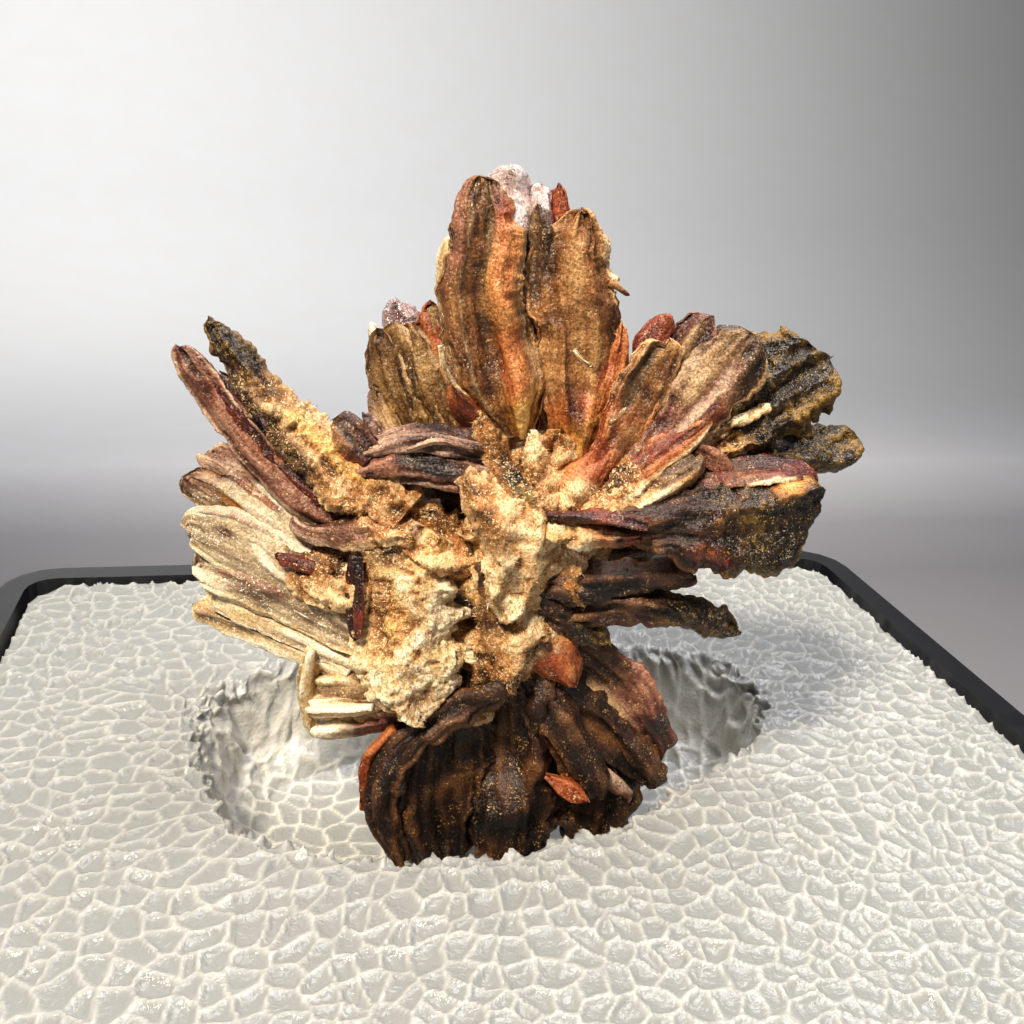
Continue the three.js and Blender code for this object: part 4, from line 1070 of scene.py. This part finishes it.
# The block: a short stub of honey-brown goethite under the fan, with thin pale ribs round it.
# It hangs from the pillar's side, clear of the foam.
block = {
    "back": ("honey", (-1.1, -0.8), 0.5, 8,
        [(-2.8, -2.9, 1.3), (-4, -3.05, 1.7), (-4.9, -3.1, 1.75), (-5.5, -3.1, 1.6)],
        [(0.1, 0.22, 0.16, "gilt", 0.55, 1.1), (-0.55, -0.1, 0.3, "umber", 0.2, 0.8)]),
    "left_rib": ("gilt", (-1.15, -1.1), 0.5, 5,
        [(-5.5, -2.25, 0.35), (-5.6, -2.8, 0.5), (-5.58, -3.6, 0.5), (-5.5, -4.35, 0.4)],
        [(0.2, 0.1, 0.4, "cream", 0.2, 0.6)]),
    "low_rib": (("plum", "gilt"), (-1.3, -1), 0.5, 15,
        [(-3, -3.9, 0.6), (-4.3, -4.05, 0.75), (-5.2, -4.15, 0.65), (-5.5, -4.2, 0.45)]),
    "mid_rib": ("gilt", (-1.35, -1.2), 0.42, 6,
        [(-3.9, -3.6, 0.4), (-4.7, -3.62, 0.62), (-5.4, -3.65, 0.6), (-5.6, -3.65, 0.45)],
        [(0.5, 0.1, 0.3, "gilt"), (-0.4, 0.08, 0.3, "cream")]),
}
build("goethite_block", block.values(), 601)


# The pillar: a slab of pale crust that leans out before the heart and takes the most light. It is
# limonite over goethite, with a dark red plate down its left edge and a white crumb beside. Its sunlit
# colour is painted paler still, as painted light, and its gilt ribs are partly painted highlights.
FINISHES["sunlit"] = ("crusted", "#8c5426", "#e6b97a", "#fff5da")
pillar = {
    "slab": ("sunlit", (-1.35, -2.35), 0.8, -6,
        [(-2.5, 0.75, 1.9), (-3.15, -0.35, 2.6), (-3.15, -1.75, 2.7), (-2.85, -3.2, 2.35),
         (-2.65, -4.2, 0.95)],
        [(-0.8, 0.08, 0.55, "gilt", 0.1, 1.1), (0.5, 0.06, 0.5, "mica", -0.2, 0.25),
         (0.7, 0.04, 0.35, "gilt", 0.6, 1.1), (0.25, -0.1, 0.4, "ochre", 0.28, 0.6),
         (0.1, -0.12, 0.3, "bark", 0.66, 0.8)]),
    "red_edge": ("garnet", (-1.75, -1.95), 0.16, 62,
        [(-4.42, 0.1, 0.2), (-4.48, -1, 0.34), (-4.42, -2.1, 0.15)]),
    "pale_crumb": ("gilt", (-2.5, -2.5), 0.28, 0,
        [(-1.6, -2.45, 0.2), (-1.45, -2.47, 0.3), (-1.32, -2.48, 0.22)]),
}
pillar_piece = build("goethite_pillar", pillar.values(), 701)


# The core: the heart that all the blades grew from. It is dense fibrous goethite under matted
# crusts of limonite, with straw-coloured roots where the crown stands on it.


def barky(around, along, points, seed):
    """Deep fibrous ridges with torn ends."""
    ridge = 1 - 2 * np.abs(flow(around, along, 0.34, 2.2, seed, 2))
    fibre = flow(around, along, 0.10, 1.2, seed + 1)
    return 0.10 * ridge + 0.04 * fibre + 0.05 * cloud(points, 0.4, seed + 2)


# Fibrous goethite breaks into splinters, so it is rougher and darker than the silky blades.
SURFACES["barky"] = (barky, 0.12, mineral(
    "fibrous_goethite", rough=0.42, ior=1.5, grain=(0.035, 0.8), relief=0.035,
    contrast=0.6, glitter=0.5, specks=(0.06, "#c79a5c")
))
core = {
    "front": (("crust", "straw"), (-1.6, -1.4), 1.8, 0,
        [(-1.55, 2.25, 1), (-0.4, 1.1, 2.8), (-0.35, -0.5, 2.8), (-0.95, -1.6, 1)]),
    "upper": ("crust", (-1.3, -1.2), 1.4, 0,
        [(-1.25, 0.6, 1.25), (-0.25, 1.5, 2.25), (0.65, 2.75, 1.35), (0.8, 3.25, 0.6)]),
    "left": ("crust", (-1, -1.2), 1.6, 0,
        [(-0.75, 0, 1.75), (-2, 0.3, 2), (-3, 0.75, 1.5), (-3.75, 1, 0.75)]),
    "low": (("straw", "crust"), (-0.9, -0.9), 1.8, 0,
        [(-0.75, 0.25, 2), (-0.75, -1.5, 2.4), (-0.5, -3.25, 1.6)]),
    "heart": (("bark", "crust"), (0.2, 0.4), 3.6, 0,
        [(-2.5, -0.75, 1.5), (-1.5, -0.25, 3), (-0.25, 0.1, 3.75), (1, 0.75, 3.25), (2, 1.25, 1.5)]),
    "back": ("bark", (1.7, 1.9), 2.6, 0,
        [(-2, 0, 1.75), (-0.75, 0.25, 3.25), (0.75, 0.75, 3), (1.5, 1.1, 1.5)]),
    "straw_roots_left": (("crust", "straw", 0.7), (-1.8, -1.3), 0.5, 0,
        [(0.45, 1, 0.6), (0.2, 2.1, 0.75), (0, 3.25, 0.2)]),
    "straw_roots_right": (("crust", "ember"), (-1.7, -1.2), 0.5, 0,
        [(0.65, 0.9, 0.75), (1.4, 2.1, 1.1), (2.1, 3.2, 0.45)]),
    "golden_ridge": ("crust", (-1.9, -1.4), 0.55, 10,
        [(0.55, 0.5, 0.9), (-0.25, 1.75, 1), (-1, 3, 0.65), (-1.3, 3.75, 0.3)],
        [(0, 0.02, 0.6, "druse", 0.15, 0.6)]),
}
core_piece = build("goethite_core", core.values(), 801, step=COARSE_STEP)


# The right fan: brown and reddish blades of goethite that spread up to the right from the core.
# They overlap, and their roots are crusted.
right_fan = {
    "red_glass": (("garnet", "oxblood"), (-0.95, -0.8), 0.2, -20,
        [(2.55, 4.2, 0.4), (3.05, 5.5, 0.75), (3.4, 6, 0.6), (3.5, 6.15, 0.4)]),
    "gold_blade": (("ember", "tan", 0.4), (-1.4, -1.05), 0.26, 12,
        [(1.75, 2.1, 0.8), (2.55, 3.65, 1.3), (3.1, 4.8, 1.3), (3.5, 5.55, 0.95)],
        [(0.85, 0.08, 0.15, "straw", 0.5, 1), (-0.3, -0.06, 0.35, "umber", 0.4, 1.1)]),
    "broad_upper": (("ember", "plum"), (-1.2, -0.75), 0.26, -10,
        [(2.2, 1.5, 0.7), (3.3, 3.5, 1.4), (4.15, 5.25, 1.6), (4.6, 6.1, 1.15)],
        [(-0.3, 0.08, 0.3, "dust", 0.6, 1)]),
    "broad_middle": (("plum", "umber"), (-1.3, -0.9), 0.26, 10,
        [(2.2, 1.45, 0.7), (3.6, 3.2, 1.4), (4.65, 4.45, 1.9), (5.25, 5.2, 1.8), (5.6, 5.65, 1.3)],
        [(0.5, 0.1, 0.5, "oxblood", 0.2, 0.75), (-0.35, 0.09, 0.4, "dust", 0.5, 1.1),
         (0.93, 0.08, 0.1, "straw", 0.3, 1.1), (0.1, 0.05, 0.25, "mica", 0.3, 0.9)]),
    "ember_roll": (("crust", "ember"), (-1.65, -1.15), 0.35, 15,
        [(1.4, 1.1, 0.6), (2.7, 2.15, 0.95), (3.9, 3.05, 0.9), (4.6, 3.6, 0.5)],
        [(0.6, 0.1, 0.25, "straw"), (-0.3, -0.05, 0.4, "oxblood", 0.4, 0.9)]),
    "lower_lip": (("crust", "dust"), (-1.85, -1.3), 0.3, 20,
        [(1.25, 0.8, 0.6), (2.7, 1.6, 0.95), (3.85, 2.3, 0.9), (4.3, 2.7, 0.45)],
        [(0.5, 0.1, 0.3, "straw", 0.2, 1)]),
    "purple_edge": ("plum", (-1.2, -1.05), 0.25, 60,
        [(4.1, 2.65, 0.25), (4.6, 2.45, 0.3), (5, 2.15, 0.15)]),
}
right_fan_piece = build("goethite_right_fan", right_fan.values(), 901)


# The dark fan: a broad ridged blade and a lobe behind the right fan, coated with tiny black crystals,
# with pale crusted streaks between them and the blades in front. A dark sheet behind them is painted
# shade.
# The shade finish is fibrous goethite painted nearly black, as painted shade.
FINISHES["shade"] = ("barky", "#0a0402", "#261205", "#653f20")
dark_fan = {
    "broad": (("straw", "druse", 0.3), (-0.7, 0.1), 0.4, 5,
        [(3.3, 2, 0.8), (4.7, 3.05, 1.6), (5.7, 3.8, 2.35), (6.5, 4.4, 2.75), (7.15, 4.8, 2.6),
         (7.6, 5.1, 1.9)],
        [(-0.72, 0.16, 0.22, None), (-0.3, 0.2, 0.22, None), (0.15, 0.16, 0.2, None),
         (0.6, 0.2, 0.25, None)]),
    "lobe": ("druse", (-0.7, 0.2), 0.6, 0,
        [(3.45, 1.85, 0.5), (5.9, 2.4, 0.85), (7.3, 2.75, 1.2), (8.05, 3, 0.85), (8.2, 3.05, 0.4)]),
    "pale_streak_1": ("straw", (-0.9, -0.5), 0.25, 10,
        [(4, 2.9, 0.3), (4.9, 4, 0.35), (5.55, 4.8, 0.1)]),
    "pale_streak_2": ("straw", (-0.9, -0.4), 0.25, 10,
        [(4.15, 2.75, 0.3), (5.4, 3.5, 0.3), (6.55, 4.1, 0.1)]),
    # The recess is a dark sheet of painted shade between the broad blade, the lobe and the lower blade.
    "recess": ("shade", (0, 0.4), 0.5, 0,
        [(3, 1.8, 0.8), (4.6, 2.5, 1.5), (6, 2.8, 1.5), (7, 3, 1.1)]),
}
build("goethite_dark_fan", dark_fan.values(), 1001)


# The lower blade: one broad dark blade that reaches out to the right, with an ochre patch near
# its tip and a thin red blade standing along its upper edge.
lower_blade = {
    "red": ("garnet", (-1.1, -1.1), 0.16, -52,
        [(3.25, 1.6, 0.4), (5, 2.25, 0.8), (6.5, 2.3, 0.75), (7.2, 1.95, 0.3)],
        [(0.9, 0.03, 0.12, "straw", 0.5, 0.9)]),
    "broad": (("bark", "druse"), (-1.9, -1.6), 0.6, -6,
        [(1.9, 0.8, 0.8), (3.4, 0.8, 1.5), (4.6, 0.75, 2.3), (5.6, 0.85, 2.6), (6.4, 1.2, 2),
         (7.1, 1.65, 1), (7.4, 1.75, 0.5)],
        [(-0.6, 0.1, 0.5, "ochre", 0.76, 1), (-0.3, 0.22, 0.5, None), (-0.1, 0.1, 0.5, "bark", 0, 0.6),
         (0.7, 0.05, 0.45, "oxblood", 0.3, 0.6)]),
}
build("goethite_lower_blade", lower_blade.values(), 1101)


# The bark: rough columns of fibrous goethite that reach right below the lower blade, and a red
# splinter that lies over their roots.
bark = {
    "column_top": ("bark", (-1.3, -1), 0.6, 0,
        [(0, -0.65, 0.65), (1.75, -0.6, 0.9), (3.35, -0.45, 0.8), (3.95, -0.4, 0.5), (4.15, -0.4, 0.2)]),
    "column_low": (("bark", "druse"), (-1, -0.9), 0.55, 10,
        [(0.25, -1.15, 0.65), (2.25, -1.2, 0.9), (3.85, -1.35, 0.8), (4.85, -1.65, 0.65),
         (5.3, -1.8, 0.2)]),
    "lump": (("bark", "druse"), (-1.1, -1), 0.8, 0,
        [(-0.25, -0.95, 0.75), (1.1, -1.5, 1.1), (1.85, -2, 0.8), (2.05, -2.2, 0.35)]),
    "red_splinter": (("garnet", "oxblood"), (-2.1, -2.4), 0.3, 20,
        [(0.4, 1.05, 0.3), (1.75, 1, 0.4), (2.7, 0.85, 0.4), (3, 0.75, 0.2)]),
    "splinter_shelf": (("straw", "ember"), (-2, -2.1), 0.35, -20,
        [(0.4, 0.65, 0.6), (1.75, 0.6, 0.55), (2.85, 0.6, 0.1)]),
}
build("goethite_bark", bark.values(), 1201)


# The stem: a bundle of dark brown fibrous blades that carries the rest, painted nearly black as painted
# shade, where the cluster above shades it. It stands in the foam's pit, and a curled leaf closes its left
# side.
stem = {
    "curled_leaf": (("bark", "shade"), (-2, -1.5), 0.5, 30,
        [(-0.7, -3.1, 0.3), (-2.05, -3.8, 0.6), (-3.2, -4.55, 0.75), (-3.8, -5.5, 0.8),
         (-3.7, -6.75, 0.75), (-3.2, -7.65, 0.25)]),
    "left_core": ("shade", (-0.7, -0.4), 1.28, 0,
        [(-1.7, -2.5, 1.65), (-2.1, -4, 2.53), (-2.25, -6, 2.75), (-1.95, -7.7, 1.38)]),
    "mid_core": (("bark", "shade"), (-0.5, -0.3), 1.28, 0,
        [(-0.5, -2, 1.93), (-0.45, -4, 2.48), (-0.45, -6.25, 2.53), (-0.6, -7.95, 1.38)]),
    "back_core": ("shade", (1, 1.1), 2, 0,
        [(-0.25, 0, 2), (-0.55, -2.5, 2.75), (-0.6, -4.75, 3), (-0.65, -6.95, 1.6)]),
    "right_ridge": (("bark", "shade"), (-1, -0.7), 0.49, -20,
        [(-0.3, -2.6, 0.78), (0.65, -3.95, 1.02), (1.5, -5.4, 0.9), (1.7, -6, 0.42)]),
    "right_slab": ("shade", (-0.5, 0.2), 0.63, 20,
        [(0.1, -2.75, 0.9), (1.75, -4.25, 1.32), (2.75, -5.3, 1.08), (3, -5.8, 0.6)]),
    "right_foot": ("shade", (0.2, 0.4), 1.2, 0,
        [(0, -3.25, 1.5), (1.25, -5, 2.25), (1.55, -6.4, 2), (1.25, -7.25, 1.1)]),
    "far_right": (("bark", "plum"), (-0.3, 0.3), 0.4, 30,
        [(-0.1, -1.5, 1.08), (1.9, -3.1, 1.56), (2.95, -4.4, 1.26), (3.25, -5.1, 0.8)],
        [(0.3, 0.1, 0.3, "dust", 0.2, 0.8)]),
    "grey_plate": ("mica", (-0.6, 0), 0.3, 40,
        [(1.2, -4.7, 0.2), (1.95, -5.55, 0.35), (2.5, -6.1, 0.15)]),
    "orange_bit": ("ember", (-1.1, -1.1), 0.5, 0,
        [(0.4, -5.45, 0.2), (1, -5.8, 0.6), (1.5, -6.05, 0.2)]),
    "left_red": ("ember", (-1.7, -1.4), 0.3, 20,
        [(-3.45, -4.25, 0.3), (-4.1, -5.1, 0.4), (-4.1, -6.3, 0.2)]),
    "throat": ("crust", (-1, -0.8), 0.9, 0,
        [(-1.35, -1.75, 1.5), (-1.6, -3.25, 1.8), (-1.95, -4.35, 1)]),
    "apron": (("straw", "ember"), (-1.35, -1.15), 0.5, 10,
        [(-0.5, -1.1, 1), (0.2, -1.85, 1.4), (0.75, -2.6, 1.2), (1.15, -3.2, 0.5)]),
}
stem_piece = build("goethite_stem", stem.values(), 1301, step=COARSE_STEP)


# The strays: fibres of lint that cling to the blades, and a red chip of the mineral that has
# broken off and is sunk in the foam of the pit.
strays = {
    "lint_left": ("gilt", (-1.9, -1.7), 0.022, 0,
        [(-2.22, 5.35, 0.022), (-2.15, 4.9, 0.022), (-1.9, 4.4, 0.022), (-1.5, 4.05, 0.022)]),
    "lint_middle": ("gilt", (-1.7, -1.7), 0.02, 0,
        [(1.1, 5.25, 0.02), (1.3, 5, 0.02), (1.6, 4.8, 0.02)]),
    "lint_right": ("gilt", (-1.9, -1.8), 0.024, 0,
        [(1.98, 3.4, 0.024), (2.2, 3.55, 0.024), (2.4, 3.8, 0.024)]),
    "red_chip": (("oxblood", "plum"), (5.85, 5.5), 0.35, 10,
        [(-5.6, -4.7, 0.3), (-5.25, -4.8, 0.5), (-4.9, -4.95, 0.25)]),
}
build("goethite_strays", strays.values(), 1401)


# The far side: blades like those in front, but plainer and coarser, that grew backwards from the
# same heart. Each copies the finishes of a near blade and is tucked in behind it.
FAR_STEP = 0.09
FAR_REACH = 0.88
FAR_ROOT = (0, -0.4, 1)
LIKE_NEAR = [
    crown["left_blade"], crown["shadow_facet"], crown["right_blade"], book["plate_2"],
    book["plate_4"], left_pair["outer_thin_blade"], fan["plate_2"], fan["plate_4"], pillar["slab"],
    right_fan["gold_blade"], right_fan["broad_middle"], dark_fan["broad"], dark_fan["lobe"],
    lower_blade["broad"], bark["column_top"],
]
far_blades = []
for number, (finishes, _, thick, turn, spine, *_) in enumerate(LIKE_NEAR):
    path = [tuple(size * FAR_REACH for size in spine[spot]) for spot in (1, -2, -1)]
    depths = (0.6, 3.2 - 0.8 * (number % 3))
    far_blades.append((finishes, depths, min(thick * 1.3, 1), -turn, [FAR_ROOT, *path]))
build("goethite_far_side", far_blades, 5001, step=FAR_STEP)


# The bristles on the crusts: fine golden needles of goethite that stand out of the crusts of
# the core, the pillar, the stem, both fans and the inner left blade.
def bristle_tree(name, sides, material):
    """Scatters thin cones over a surface, leaning each its own way."""
    tree = bpy.data.node_groups.new(name, "GeometryNodeTree")
    face = tree.interface
    face.new_socket("Geometry", in_out="INPUT", socket_type="NodeSocketGeometry")
    for label in ("Density", "Length", "Width", "Lean"):
        face.new_socket(label, in_out="INPUT", socket_type="NodeSocketFloat")
    face.new_socket("Seed", in_out="INPUT", socket_type="NodeSocketInt")
    face.new_socket("Geometry", in_out="OUTPUT", socket_type="NodeSocketGeometry")
    given = add(tree, "NodeGroupInput").outputs
    spots = add(
        tree, "GeometryNodeDistributePointsOnFaces", {"distribute_method": "RANDOM"}, None,
        {"Mesh": given["Geometry"], "Density": given["Density"], "Seed": given["Seed"]},
    )
    needle = add(
        tree, "GeometryNodeMeshCone", None,
        {"Vertices": sides, "Radius Top": 0.12, "Radius Bottom": 1, "Depth": 1},
    )
    lean = add(
        tree, "FunctionNodeRandomValue", {"data_type": "FLOAT_VECTOR"},
        {0: (-1, -1, -1), 1: (1, 1, 1)}, {"Seed": given["Seed"]},
    )
    leaned = add(
        tree, "ShaderNodeVectorMath", {"operation": "SCALE"}, None,
        {"Vector": lean.outputs[0], "Scale": given["Lean"]},
    )
    way = add(
        tree, "ShaderNodeVectorMath", {"operation": "ADD"}, None,
        {0: spots.outputs["Normal"], 1: leaned.outputs["Vector"]},
    )
    turn = add(
        tree, "FunctionNodeAlignRotationToVector", {"axis": "Z"}, None,
        {"Vector": way.outputs["Vector"]},
    )
    vary = add(tree, "FunctionNodeRandomValue", {"data_type": "FLOAT"}, {2: 0.35, 3: 1.0})
    tall = add(
        tree, "ShaderNodeMath", {"operation": "MULTIPLY"}, None,
        {0: vary.outputs[1], 1: given["Length"]},
    )
    size = add(tree, "ShaderNodeCombineXYZ", links={
        "X": given["Width"], "Y": given["Width"], "Z": tall.outputs["Value"],
    })
    stand = add(tree, "GeometryNodeInstanceOnPoints", links={
        "Points": spots.outputs["Points"], "Instance": needle.outputs["Mesh"],
        "Rotation": turn.outputs["Rotation"], "Scale": size.outputs["Vector"],
    })
    real = add(
        tree, "GeometryNodeRealizeInstances", links={"Geometry": stand.outputs["Instances"]}
    )
    finish = add(
        tree, "GeometryNodeSetMaterial", None, {"Material": material},
        {"Geometry": real.outputs["Geometry"]},
    )
    add(tree, "NodeGroupOutput", links={"Geometry": finish.outputs["Geometry"]})
    return tree


def bristle(name, host, kind, tree, values):
    """Needles over the faces of one piece that have the given surface, as a mesh of their own."""
    mesh = host.data
    wanted = list(SURFACES).index(kind)
    corners = [tuple(face.vertices) for face in mesh.polygons if face.material_index == wanted]
    ground = bpy.data.meshes.new(name + "_ground")
    ground.from_pydata([vertex.co for vertex in mesh.vertices], [], corners)
    base = bpy.data.objects.new(name + "_ground", ground)
    bpy.context.scene.collection.objects.link(base)
    modifier = base.modifiers.new("bristles", "NODES")
    modifier.node_group = tree
    for item in tree.interface.items_tree:
        if item.in_out == "INPUT" and item.name in values:
            modifier[item.identifier] = values[item.name]
    grown = bpy.data.meshes.new_from_object(
        base.evaluated_get(bpy.context.evaluated_depsgraph_get())
    )
    base.modifiers.remove(modifier)
    bpy.data.objects.remove(base)
    grown.name = name
    piece = bpy.data.objects.new(name, grown)
    bpy.context.scene.collection.objects.link(piece)
    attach(piece, "root")
    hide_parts("goethite_cluster")
    return piece


# Goethite needles are straw to amber, glossy along their sides.
needle_gold, needle_tree, needle_shader, needle_place = new_material(
    "golden_goethite_needles", {"Roughness": 0.35, "IOR": 1.9}
)
wire(needle_tree, needle_shader, {"Base Color": spread_colours(
    needle_tree, noise(needle_tree, needle_place, 1 / (0.5 * MM), 4),
    [(0.3, "#4d2a10"), (0.45, "#9a6327"), (0.58, "#d09a4c"), (0.72, "#f4dca0")],
)})
NEEDLE_SIDES = 3
NEEDLE_RADIUS = 0.008
NEEDLE_LEAN = 0.55
needles = bristle_tree("needles", NEEDLE_SIDES, needle_gold)
# The needles on a square millimetre of each piece's crust, and their length in millimetres.
for name, host, density, length in (
    ("core", core_piece, 76, 0.11), ("left_pair", left_pair_piece, 120, 0.10),
    ("pillar", pillar_piece, 90, 0.08), ("fan", fan_piece, 70, 0.09),
    ("right_fan", right_fan_piece, 80, 0.11), ("stem", stem_piece, 50, 0.09),
):
    bristle(
        "needles_" + name, host, "crusted", needles,
        {"Density": density / MM**2, "Length": length * MM, "Width": NEEDLE_RADIUS * MM,
         "Lean": NEEDLE_LEAN, "Seed": 5},
    )
